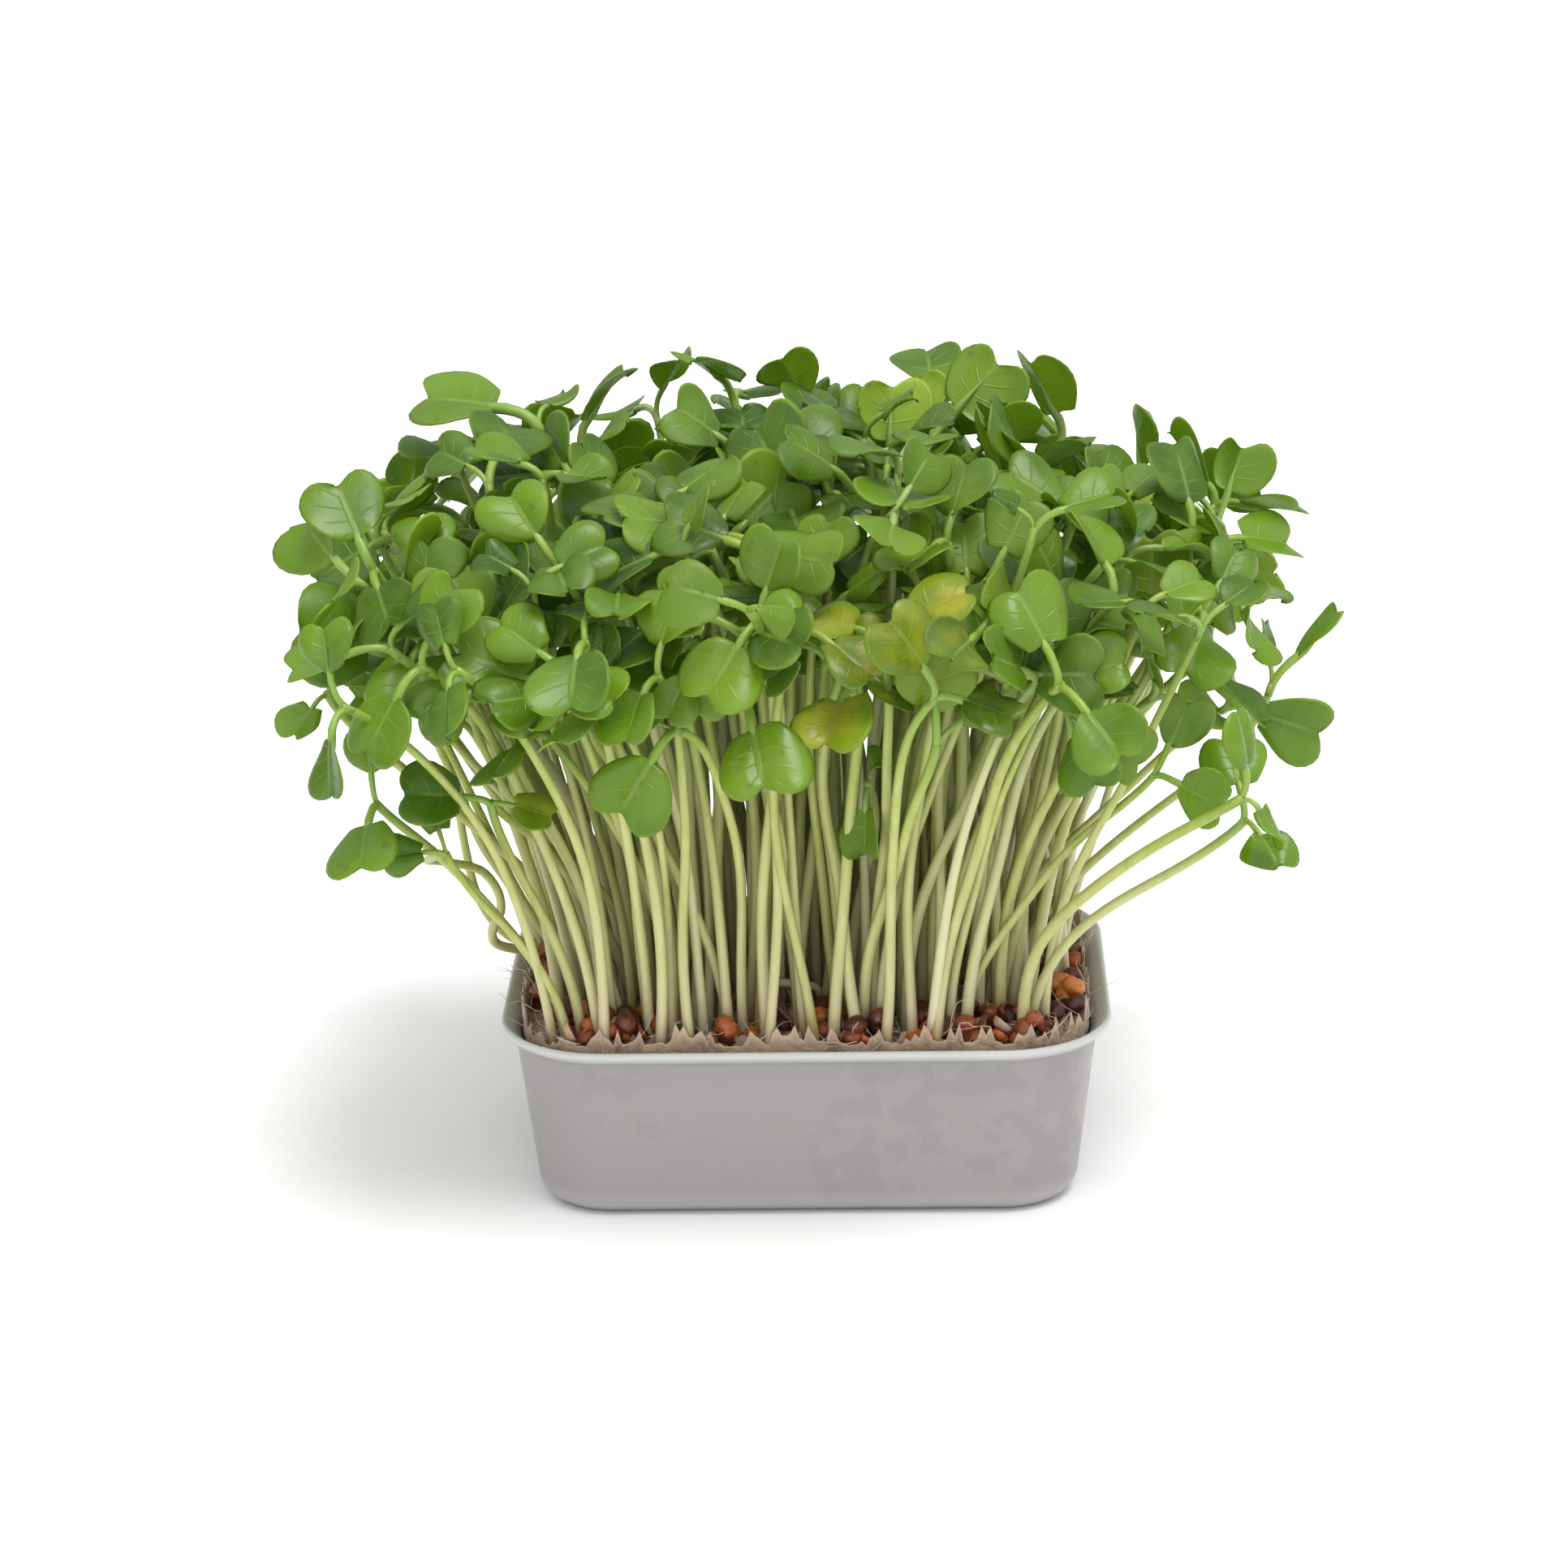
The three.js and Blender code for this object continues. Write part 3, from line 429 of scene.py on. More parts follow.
def mat_top(x, y):
    edge = np.maximum(np.abs(x) / MAT_HALF[0], np.abs(y) / MAT_HALF[1])
    wave = np.sin(MAT_LUMP_TURNS[0] * x + MAT_LUMP_SHIFT) * np.cos(MAT_LUMP_TURNS[1] * y)
    return TRAY_HEIGHT - MAT_SINK + MAT_EDGE_RISE * edge ** MAT_EDGE_POWER + MAT_LUMP * wave


# Layout
def direction(azimuth, elevation):
    a = math.radians(azimuth)
    e = math.radians(elevation)
    return np.array([math.cos(e) * math.cos(a), math.cos(e) * math.sin(a), math.sin(e)])


def leaf_of(along, wanted_face, size, petiole, curl, fold):
    face = unit(wanted_face - along * (wanted_face @ along))
    return {
        "along": along, "face": face, "side": np.cross(face, along), "size": size, "petiole": petiole,
        "curl": math.radians(curl) / 10, "fold": fold,
    }


def sprout_of(root, head, tip, leaves, kick):
    x, y = root
    start = np.array([x, y, mat_top(x, y) - ROOT_DEPTH])
    reach = np.linalg.norm(head - start)
    first = start + np.array([kick[0], kick[1], BEZIER_START * reach])
    last = head - unit(tip) * BEZIER_END * reach
    return {"stem": np.array([start, first, last, head]), "head": head, "reach": reach, "leaves": leaves}


def leader(draw, row, root, nudge):
    push = [draw.between(-nudge, nudge) for _ in range(7)]
    curl, fold = row[13:]
    leaves = []
    for first, turn in ((5, 3), (9, 5)):
        azimuth, elevation, tilt, size = row[first:first + 4]
        along = direction(azimuth + NUDGE_TURN * push[turn], elevation + NUDGE_TURN * push[turn + 1])
        face = np.array([0, -math.cos(math.radians(tilt)), math.sin(math.radians(tilt))])
        petiole = LEADER_PETIOLE[0] + LEADER_PETIOLE[1] * size
        leaves.append(leaf_of(along, face, size, petiole, curl, fold))
    upright = LEADER_UPRIGHT * sum(leaf["size"] for leaf in leaves)
    tip = sum((leaf["along"] + leaf["face"]) * leaf["size"] for leaf in leaves) + (0, 0, upright)
    return sprout_of(root, np.array(row[2:5]) + push[:3], tip, leaves, (0, 0))


def filler(draw, root, lower=0, gather=1):
    spread = HEAD_SPREAD * draw.between(*SPREAD_RANGE)
    wanted_x = root[0] * spread * gather + draw.between(-HEAD_SCATTER, HEAD_SCATTER)
    x = np.clip(wanted_x, -HEAD_LIMIT, HEAD_LIMIT)
    y = root[1] * spread + draw.between(-HEAD_SCATTER, HEAD_SCATTER)
    fall = HEAD_FALL[0] * (root[0] / ROOT_REACH[0]) ** 2 + HEAD_FALL[1] * (root[1] / ROOT_REACH[1]) ** 2
    z = HEAD_HEIGHT - fall + draw.between(*HEAD_DROP_RANGE) - lower
    lean_x = x / LEAN_REACH[0] + draw.between(-LEAN_SCATTER, LEAN_SCATTER)
    lean_y = y / LEAN_REACH[1] + draw.between(-LEAN_SCATTER, LEAN_SCATTER)
    tip = unit(np.array([lean_x, lean_y, LEAN_RISE]))
    roll = draw.between(0, math.pi)
    pair = unit(np.cross(tip, (math.cos(roll), math.sin(roll), 0)))
    curl = draw.between(*CURL_RANGE)
    size = draw.between(*LEAF_SIZE_RANGE)
    second = draw.between(*SECOND_LEAF_RANGE)
    fold = draw.between(*FOLD_RANGE)
    kick = (draw.between(-KICK, KICK), draw.between(-KICK, KICK))
    petiole = draw.between(*PETIOLE_RANGE)
    leaves = []
    for sign, scale in ((1, 1), (-1, second)):
        opening = math.radians(draw.between(*OPENING_RANGE))
        along = tip * math.cos(opening) + sign * pair * math.sin(opening)
        face = tip * math.sin(opening) - sign * pair * math.cos(opening)
        face = face + np.cross(along, face) * draw.between(-TWIST, TWIST)
        leaves.append(leaf_of(along, face, size * scale, petiole * scale, curl, fold))
    return sprout_of(root, np.array([x, y, z]), tip, leaves, kick)


def bezier(controls, t):
    t = np.asarray(t)[:, None]
    r = 1 - t
    start, first, last, end = controls
    return r ** 3 * start + 3 * r * r * t * first + 3 * r * t * t * last + t ** 3 * end


def leaf_frame(head, leaf, u):
    """Points along a leaf's midrib at u, and the face's direction there."""
    curl = leaf["curl"] if abs(leaf["curl"]) > 1e-4 else 1e-4
    bend = curl * np.asarray(u)[..., None]
    normal = leaf["face"] * np.cos(bend) + leaf["along"] * np.sin(bend)
    middle = head + leaf["along"] * np.sin(bend) / curl - leaf["face"] * (1 - np.cos(bend)) / curl
    return middle, normal


def leaf_points(head, leaf, u, v):
    middle, normal = leaf_frame(head, leaf, u)
    across = np.asarray(v)[..., None]
    return middle + leaf["side"] * across + normal * leaf["fold"] * np.abs(across)


def both_sides(grid):
    return np.array([(u, v * side) for u, v in grid for side in ((1, -1) if v > 0 else (1,))])


LEAF_SAMPLES = both_sides(LEAF_GRID)


def samples_of(sprout):
    """Points all over a sprout, for keeping it clear of others."""
    count = max(4, math.ceil(sprout["reach"] / SAMPLE_STEP))
    samples = [bezier(sprout["stem"], np.arange(count + 1) / count)]
    for leaf in sprout["leaves"]:
        steps = max(1, math.floor(leaf["petiole"] / PETIOLE_STEP + 0.5))
        u = leaf["petiole"] * np.arange(1, steps + 1) / steps
        samples.append(leaf_points(sprout["head"], leaf, u, 0 * u))
        u, v = LEAF_SAMPLES.T * leaf["size"]
        samples.append(leaf_points(sprout["head"], leaf, leaf["petiole"] + u, v))
    return np.concatenate(samples)


class Crowd:
    """Sample points of every placed sprout."""

    def __init__(self):
        self.points = np.zeros((0, 3))

    def is_clear(self, samples, least):
        low = samples.min(axis=0) - least
        high = samples.max(axis=0) + least
        near = self.points[((self.points >= low) & (self.points <= high)).all(axis=1)]
        gaps = samples[:, None] - near[None]
        return not ((gaps ** 2).sum(axis=-1) < least ** 2).any()

    def take(self, samples):
        self.points = np.concatenate([self.points, samples])


def clump_spots(draw):
    spots = []
    for row in range(CLUMP_ROWS):
        columns = CLUMP_COLUMNS - row % 2
        for column in range(columns):
            x = (column - (columns - 1) / 2) * CLUMP_PITCH[0] + draw.between(-CLUMP_JITTER, CLUMP_JITTER)
            y = (row - (CLUMP_ROWS - 1) / 2) * CLUMP_PITCH[1] + draw.between(-CLUMP_JITTER, CLUMP_JITTER)
            spots.append({"x": x, "y": y, "sprouts": []})
    for spot in spots:
        spot["turn"] = draw.between(0, 2 * math.pi)
    return spots


def place(crowd, spot, make):
    angle = spot["turn"] + 2 * math.pi * len(spot["sprouts"]) / SPROUTS_PER_CLUMP
    root = (spot["x"] + ROOT_OFFSET * math.cos(angle), spot["y"] + ROOT_OFFSET * math.sin(angle))
    for attempt in range(TRIES):
        sprout = make(root, attempt)
        samples = samples_of(sprout)
        if crowd.is_clear(samples, CLEAR):
            crowd.take(samples)
            spot["sprouts"].append(sprout)
            return


def grown_clumps(draw, crowd):
    spots = clump_spots(draw)
    for row in LEADERS:
        free = [spot for spot in spots if len(spot["sprouts"]) < SPROUTS_PER_CLUMP]
        nearest = min(free, key=lambda spot: math.hypot(spot["x"] - row[0], spot["y"] - row[1]))
        place(crowd, nearest, lambda root, attempt: leader(draw, row, root, NUDGE * attempt))
    for spot in spots:
        for _ in range(SPROUTS_PER_CLUMP - len(spot["sprouts"])):
            place(crowd, spot, lambda root, attempt: filler(draw, root))
    return [spot for spot in spots if spot["sprouts"]]


def tuft_corners(spot):
    angles = spot["turn"] + np.arange(TUFT_SIDES) / TUFT_SIDES * 2 * math.pi
    x = spot["x"] + TUFT_RADIUS * np.cos(angles)
    y = spot["y"] + TUFT_RADIUS * np.sin(angles)
    return np.stack([x, y, mat_top(x, y)], axis=1)


def on_mat(x, y):
    return math.hypot(max(abs(x) - SEED_AREA[0], 0), max(abs(y) - SEED_AREA[1], 0)) < SEED_AREA[2]


def seed_spots(draw, start, taken):
    """Each seed as x, y, z, turn and tilt. A pile grows by one seed beside another of its own."""
    seeds = []
    for _ in range(SEED_TRIES):
        if len(seeds) == SEEDS_PER_PILE:
            break
        pick = math.floor(draw.unit() * len(seeds))
        host = seeds[pick] if seeds else None
        angle = draw.between(0, 2 * math.pi)
        reach = SEED_PITCH if host else draw.between(0, SEED_FIRST_REACH)
        x = (host or start)[0] + reach * math.cos(angle)
        y = (host or start)[1] + reach * math.sin(angle)
        place_at = np.array([x, y, mat_top(x, y) + SEED_LIFT + draw.between(0, SEED_HEAP)])
        turn = draw.between(0, math.pi)
        tilt = draw.between(-SEED_TILT, SEED_TILT)
        free = np.linalg.norm(taken - place_at, axis=1).min() > SEED_CLEAR
        apart = all(other is host or math.dist(other[:3], place_at) > SEED_APART for other in seeds)
        if on_mat(x, y) and free and apart:
            seeds.append((*place_at, turn, tilt))
    return seeds


# Meshes
def linked(name, data):
    """A new object with its data, in the scene."""
    thing = bpy.data.objects.new(name, data)
    bpy.context.scene.collection.objects.link(thing)
    return thing


class Surface:
    """Gathers closed surfaces into one mesh, with a number of each trait for every vertex."""

    def __init__(self, *traits):
        self.points = []
        self.faces = []
        self.slots = []
        self.traits = {name: [] for name in traits}
        self.count = 0

    def add(self, points, faces, slot=0, **values):
        self.points.append(points)
        self.faces.append(faces + self.count)
        self.slots.append(np.full(len(faces), slot, dtype=np.int32))
        for name, gathered in self.traits.items():
            gathered.append(np.broadcast_to(np.asarray(values.get(name, 0), dtype=float), len(points)))
        self.count += len(points)

    def made(self, name, *materials):
        points = np.concatenate(self.points) * MM
        faces = np.concatenate(self.faces).astype(np.int32)
        mesh = bpy.data.meshes.new(name)
        mesh.vertices.add(len(points))
        mesh.vertices.foreach_set("co", points.astype(np.float32).ravel())
        mesh.loops.add(3 * len(faces))
        mesh.loops.foreach_set("vertex_index", faces.ravel())
        mesh.polygons.add(len(faces))
        mesh.polygons.foreach_set("loop_start", np.arange(len(faces), dtype=np.int32) * 3)
        mesh.polygons.foreach_set("material_index", np.concatenate(self.slots))
        mesh.update(calc_edges=True)
        mesh.shade_smooth()
        for trait, values in self.traits.items():
            layer = mesh.attributes.new(trait, "FLOAT", "POINT")
            layer.data.foreach_set("value", np.concatenate(values).astype(np.float32))
        for material in materials:
            mesh.materials.append(material)
        piece = linked(name, mesh)
        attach(piece, "root")
        return piece


def ring_faces(rings, sides):
    """Triangles between rings of points, numbered ring by ring, facing out when rings run anticlockwise."""
    ring, side = np.meshgrid(np.arange(rings - 1), np.arange(sides), indexing="ij")
    a = (ring * sides + side).ravel()
    b = (ring * sides + (side + 1) % sides).ravel()
    return np.concatenate([np.stack([a, b, b + sides], 1), np.stack([a, b + sides, a + sides], 1)])


def capped_faces(rings, sides):
    """As ring_faces, with a fan to a middle point at each end: the last two points."""
    side = np.arange(sides)
    after = (side + 1) % sides
    last = (rings - 1) * sides
    low = np.stack([np.full(sides, rings * sides), after, side], 1)
    high = np.stack([np.full(sides, rings * sides + 1), last + side, last + after], 1)
    return np.concatenate([ring_faces(rings, sides), low, high])


def tubes(paths, radii, sides, reference):
    """Closed round tubes along paths (tube, step, 3): points, triangles and each point's share of the way."""
    count, steps, _ = paths.shape
    along = unit(np.gradient(paths, axis=1))
    across = unit(reference - (along * reference).sum(axis=-1, keepdims=True) * along)
    other = np.cross(along, across)
    angles = np.arange(sides) / sides * 2 * math.pi
    spokes = across[:, :, None] * np.cos(angles)[:, None] + other[:, :, None] * np.sin(angles)[:, None]
    rings = paths[:, :, None] + spokes * radii[:, :, None, None]
    points = np.concatenate([rings.reshape(count, -1, 3), paths[:, :1], paths[:, -1:]], axis=1)
    faces = capped_faces(steps, sides)
    faces = (faces[None] + (np.arange(count) * points.shape[1])[:, None, None]).reshape(-1, 3)
    share = np.concatenate([np.repeat(np.linspace(0, 1, steps), sides), [0, 1]])
    return points.reshape(-1, 3), faces, np.tile(share, count)


def through(controls, count):
    """Smooth curve through the control points, at even steps from the first to the last."""
    controls = np.asarray(controls, dtype=float)
    padded = np.concatenate([2 * controls[:1] - controls[1:2], controls, 2 * controls[-1:] - controls[-2:-1]])
    at = np.linspace(0, len(controls) - 1, count)
    i = np.minimum(at.astype(int), len(controls) - 2)
    t = (at - i)[:, None]
    a, b, c, d = (padded[i + k] for k in range(4))
    return b + 0.5 * t * (c - a + t * (2 * a - 5 * b + 4 * c - d + t * (3 * (b - c) + d - a)))


# Leaves
COLUMNS = np.array([-b for b in BLADE_COLUMNS[:0:-1]] + list(BLADE_COLUMNS))
ROWS = np.linspace(0, 0.975, BLADE_ROWS)


def square_corners(grid):
    return [part.ravel() for part in (grid[:-1, :-1], grid[:-1, 1:], grid[1:, 1:], grid[1:, :-1])]


def blade_topology():
    """Triangles over the upper and the lower face of a blade, which share their border points."""
    rows, columns = len(ROWS), len(COLUMNS)
    upper = np.arange(rows * columns).reshape(rows, columns)
    lower = upper.copy()
    inner = (rows - 2) * (columns - 2)
    lower[1:-1, 1:-1] = rows * columns + np.arange(inner).reshape(rows - 2, columns - 2)
    a, b, c, d = square_corners(upper)
    top = np.concatenate([np.stack([a, b, c], 1), np.stack([a, c, d], 1)])
    a, b, c, d = square_corners(lower)
    under = np.concatenate([np.stack([c, b, a], 1), np.stack([d, c, a], 1)])
    return np.concatenate([top, under])


BLADE_FACES = blade_topology()


def blade_outline(look):
    """Half outline in widths, with its own notch and base, at each of the rows."""
    u, v = through(BLADE_OUTLINE, OUTLINE_POINTS).T
    base = np.exp(-((v - BASE_LOBE_AT) / BASE_LOBE_WIDTH) ** 2) * (u < BASE_LOBE_END)
    tip = np.clip((u - TIP_START) / TIP_LENGTH, 0, 1) * np.clip(1 - v / NOTCH_WIDTH, 0, 1)
    u = u - look["heart"] * HEART_DEPTH * base - look["notch"] * NOTCH_DEPTH * tip
    v = v * (1 - look["narrow"] * np.exp(-(u / NARROW_REACH) ** 2))
    at = ROWS * (len(u) - 1)
    return np.interp(at, np.arange(len(u)), u), np.interp(at, np.arange(len(v)), v)


def blade_relief(look, size, length, v_mm):
    """The crease along the midrib, and how far the lobes rise as they cup, twist, swell and wave."""
    rows, across = ROWS[:, None], np.abs(COLUMNS)
    side = np.sign(COLUMNS)
    crease = np.sqrt(v_mm ** 2 + CREASE_ROUNDING) - math.sqrt(CREASE_ROUNDING)
    cup = (look["cup"] + look["skew"] * side) * v_mm ** 2 / size
    twist = look["twist"] * v_mm * (length / length.max() - TWIST_CENTRE)
    middle = np.sin(math.pi * np.clip(rows * SWELL_REACH, 0, 1))
    swell = look["swell"] * np.sin(math.pi * across) * middle
    turns = look["turns"] * rows + look["phase"] + WAVE_SIDE_SHIFT * side
    wave = look["wave"] * np.sin(2 * math.pi * turns) * across ** WAVE_POWER
    return crease, cup + twist + swell + wave


def blade(head, leaf, look):
    """Points of one blade and the traits that its skin is coloured by."""
    out_u, out_v = blade_outline(look)
    middle_u = ROWS / ROWS[-1] * out_u[-1]
    across = np.abs(COLUMNS)
    lobe = 1 + look["uneven"] * np.sign(COLUMNS)
    u = middle_u[:, None] + (out_u - middle_u)[:, None] * across * lobe
    v = out_v[:, None] * COLUMNS * lobe
    size = leaf["size"]
    v_mm = v * size
    crease, relief = blade_relief(look, size, u, v_mm)
    middle, normal = leaf_frame(head, leaf, leaf["petiole"] + u * size)
    lift = leaf["fold"] * crease + relief
    surface = middle + leaf["side"] * v_mm[..., None] + normal * lift[..., None]
    half = BLADE_HALF_THICKNESS * (1 - BLADE_THINNING * across ** 2) + 0 * u
    half[:, 0] = half[:, -1] = half[0] = half[-1] = 0
    lifted = surface + normal * half[..., None]
    inner = np.s_[1:-1, 1:-1]
    sunk = (surface - normal * half[..., None])[inner]
    traits = {}
    grids = {"along": u, "across": v, "edge": across + 0 * u, "vein": ROWS[:, None] + 0 * u}
    for name, grid in grids.items():
        traits[name] = np.concatenate([grid.ravel(), grid[inner].ravel()])
    upper = np.ones_like(u)
    upper[:, 0] = upper[:, -1] = 0.5
    traits["upper"] = np.concatenate([upper.ravel(), np.zeros(sunk.shape[0] * sunk.shape[1])])
    return np.concatenate([lifted.reshape(-1, 3), sunk.reshape(-1, 3)]), traits


def petiole_tube(sprout, leaf):
    """A leaf stalk from inside the stem, round the head and on as the rib under the blade, and its radii."""
    start = bezier(sprout["stem"], STALK_START)
    rib = MIDRIB_REACH * leaf["size"]
    u = np.linspace(STALK_STRAIGHT * leaf["petiole"], leaf["petiole"] + rib, PETIOLE_POINTS - BEND_POINTS)
    past = np.clip((u - leaf["petiole"]) / rib, 0, 1)
    stalk = PETIOLE_RADIUS * leaf["size"]
    radii = stalk * (1 - past) ** MIDRIB_TAPER + MIDRIB_RADIUS
    out, normal = leaf_frame(sprout["head"], leaf, u)
    sink = radii * np.clip((u - leaf["petiole"] + MIDRIB_SINK_START) / MIDRIB_SINK_REACH, 0, 1)
    reach = STALK_BEND * np.linalg.norm(out[0] - start[0])
    ahead = start[0] + unit(start[1] - start[0]) * reach
    bend = np.array([start[0], ahead, out[0] - leaf["along"] * reach, out[0]])
    turn = bezier(bend, np.arange(BEND_POINTS) / BEND_POINTS)
    path = np.concatenate([turn, out - normal * sink[:, None]])
    return path, np.concatenate([np.full(BEND_POINTS, stalk), radii])


def leaf_look(rng, head):
    """What makes one leaf its own: the shape of its lobes, and its colour and wetness."""
    near_yellow = math.exp(-(math.dist(head, YELLOW_PLACE) / YELLOW_REACH) ** 2)
    front = np.interp(-head[1], [-WET_FRONT[0], -WET_FRONT[1]], [0, 1])
    low = np.interp(-head[2], [-WET_HEIGHT[0], -WET_HEIGHT[1]], [0, 1])
    fresh = np.interp(head[2], FRESH_HEIGHT, FRESH_TINT)
    look = {name: rng.uniform(least, most) for name, least, most in LEAF_TRAITS}
    look["tint"] = rng.normal(0, LEAF_TINT_SPREAD) + fresh
    look["yellow"] = near_yellow * rng.uniform(*YELLOW_STRENGTH) + max(0, rng.normal(*YELLOW_STRAY))
    look["wet"] = front * low * rng.uniform(*WET_STRENGTH) + DAMP_MOST * rng.uniform()
    return look


def add_sprout(surface, sprout, rng):
    """Adds one sprout: its stem, two leaf stalks with their midribs, and two blades."""
    t = np.linspace(0, STEM_TOP, STEM_STEPS)
    path = bezier(sprout["stem"], t)
    wobble = rng.uniform(*STEM_WOBBLE_RANGE) * np.sin(math.pi * t)
    for axis in (0, 1):
        turns = rng.uniform(*STEM_WOBBLE_TURNS) * t + rng.uniform()
        path[:, axis] += wobble * np.sin(2 * math.pi * turns)
    thick = rng.uniform(*STEM_RADIUS_RANGE)
    radii = thick * (STEM_WIDE - STEM_TAPER * t + STEM_FOOT_FLARE * np.exp(-t / STEM_FOOT_REACH))
    shade = rng.normal(0, STEM_TINT_SPREAD)
    points, faces, share = tubes(path[None], radii[None], STEM_SIDES, STEM_ACROSS)
    surface.add(points, faces, 0, height=share, tint=shade, roll=rng.uniform())
    for leaf in sprout["leaves"]:
        look = leaf_look(rng, sprout["head"])
        path, radii = petiole_tube(sprout, leaf)
        points, faces, share = tubes(path[None], radii[None], PETIOLE_SIDES, leaf["side"])
        surface.add(points, faces, 0, height=1 + 0.5 * share, tint=shade, roll=rng.uniform())
        points, traits = blade(sprout["head"], leaf, look)
        surface.add(
            points, BLADE_FACES, 1, tint=look["tint"], yellow=look["yellow"], wet=look["wet"], **traits)


# The trait roll is one random number for each stem and leaf stalk. No material reads it.
SPROUT_TRAITS = ("height", "tint", "roll", "along", "across", "edge", "vein", "upper", "yellow", "wet")


def sprouts_piece(name, sprouts, rng, materials):
    surface = Surface(*SPROUT_TRAITS)
    for sprout in sprouts:
        add_sprout(surface, sprout, rng)
    piece = surface.made(name, *materials)
    return piece


def added_sprouts(crowd, roots, rng):
    """Sprouts between the clumps, with heads spread as the fillers' are, inside the box of the solids."""
    draw = Draw(ADDED_SEED)
    low = np.array(cad_low) / MM + ADDED_BOX_MARGIN
    high = np.array(cad_high) / MM - ADDED_BOX_MARGIN
    wanted = ADDED_PIECES * ADDED_SPROUTS
    sprouts = []
    for _ in range(ADDED_TRIES * wanted):
        if len(sprouts) == wanted:
            break
        root = tuple(rng.uniform(*span) for span in ADDED_ROOTS)
        if not on_mat(*root) or min(math.dist(root, other) for other in roots) < ADDED_ROOT_APART:
            continue
        sprout = filler(draw, root, rng.uniform(*ADDED_LOWER), rng.uniform(*ADDED_GATHER))
        lowest = np.interp(sprout["head"][1], ADDED_LOWEST_AT, ADDED_LOWEST)
        if sprout["head"][2] < lowest:
            continue
        samples = samples_of(sprout)
        inside = (samples > low).all() and (samples < high).all()
        if inside and crowd.is_clear(samples, ADDED_CLEAR):
            crowd.take(samples)
            roots.append(root)
            sprouts.append(sprout)
    return sprouts


def stray_stems(material, rng):
    """Bent stems over the left rim, and the pale loop of the withered sprout."""
    surface = Surface("height", "tint", "roll")
    for number, route in enumerate((*STRAY_STEMS, WITHERED_LOOP)):
        path = through(route, STRAY_STEPS)
        radii = STRAY_RADIUS * np.linspace(*STRAY_TAPER, STRAY_STEPS)
        points, faces, share = tubes(path[None], radii[None], STEM_SIDES, STRAY_ACROSS)
        tint = WITHERED_TINT if number == len(STRAY_STEMS) else rng.normal(0, STRAY_TINT_SPREAD)
        height = STRAY_COLOUR_START + STRAY_COLOUR_SPAN * share
        surface.add(points, faces, height=height, tint=tint, roll=rng.uniform())
    piece = surface.made("stems_bent_over_rim", material)


def withered_tuft(material, rng):
    """Brown shrunken stems under the pale loop."""
    spread = rng.uniform(-1, 1, (WITHERED_STRANDS, 3))
    foot = np.array(WITHERED_FOOT) + spread * WITHERED_FOOT_SPREAD
    top = np.array(WITHERED_TOP) + np.roll(spread, 1, axis=1) * WITHERED_TOP_SPREAD
    ways = unit(top - foot)
    lengths = np.linalg.norm(top - foot, axis=1)
    thick = rng.uniform(*WITHERED_RADIUS, WITHERED_STRANDS)
    paths, radii = strands(rng, foot, ways, lengths, thick, WITHERED_WAVER, WITHERED_STEPS)
    surface = Surface("tint")
    add_strands(surface, rng, paths, radii, WITHERED_SIDES, STEM_ACROSS)
    piece = surface.made("withered_tuft", material)


# Seeds
def seed_surface(surface, seed, rng, open_coat):
    """One seed, dented and a little pointed, or an empty coat open on one side."""
    x, y, z, turn, tilt = seed
    polar = np.linspace(*SEED_POLAR, SEED_RINGS) * math.pi
    angles = np.arange(SEED_SIDES) / SEED_SIDES * 2 * math.pi
    ball = np.stack([
        np.sin(polar)[:, None] * np.cos(angles), np.sin(polar)[:, None] * np.sin(angles),
        -np.cos(polar)[:, None] + 0 * angles], axis=-1)
    points = np.concatenate([ball.reshape(-1, 3), [[0, 0, -1.0], [0, 0, 1.0]]])
    shift = Vector(rng.uniform(-50, 50, 3))
    lumps = np.array([noise.noise(Vector(p) * SEED_DENT_SCALE + shift) for p in points])
    inside = np.zeros(len(points))
    points = points * (1 + SEED_DENT_DEPTH * lumps)[:, None]
    if open_coat:
        mouth = rng.uniform(*SEED_MOUTH)
        above = points[:, 2] - mouth
        # Share of each point on the folded-in inner face, which the seed material darkens as painted shade.
        inside = np.clip(above / SEED_MOUTH_EDGE, 0, 1)
        points[:, 2] = np.where(above > 0, mouth - SEED_FOLDED * above, points[:, 2])
        points[:, :2] *= (1 - 0.1 * inside)[:, None]
    points = points * SEED_HALF * rng.uniform(*SEED_SIZE_RANGE)
    spin = Matrix.Rotation(turn, 3, "Z") @ Matrix.Rotation(tilt, 3, "Y")
    if open_coat:
        spin = spin @ Matrix.Rotation(rng.uniform(*SEED_OPEN_TURN), 3, "X")
    points = points @ np.array(spin).T + (x, y, z)
    pale = rng.uniform() < PALE_SHARE
    faces = capped_faces(SEED_RINGS, SEED_SIDES)
    surface.add(points, faces, tint=rng.uniform(), inside=inside, pale=pale)


def seeds_piece(name, seeds, rng, material):
    surface = Surface("tint", "inside", "pale")
    for seed in seeds:
        seed_surface(surface, seed, rng, rng.uniform() < OPEN_SHARE)
    piece = surface.made(name, material)
    return piece


def resting_height(spot, centres):
    """Where a seed dropped at a spot comes to rest, on the mat or on the seeds under it."""
    height = mat_top(*spot) + SEED_LYING
    for centre in centres:
        gap = math.dist(spot, centre[:2])
        if gap < SEED_STACK:
            height = max(height, centre[2] + 0.7 * math.sqrt(SEED_STACK ** 2 - gap ** 2))
    return height


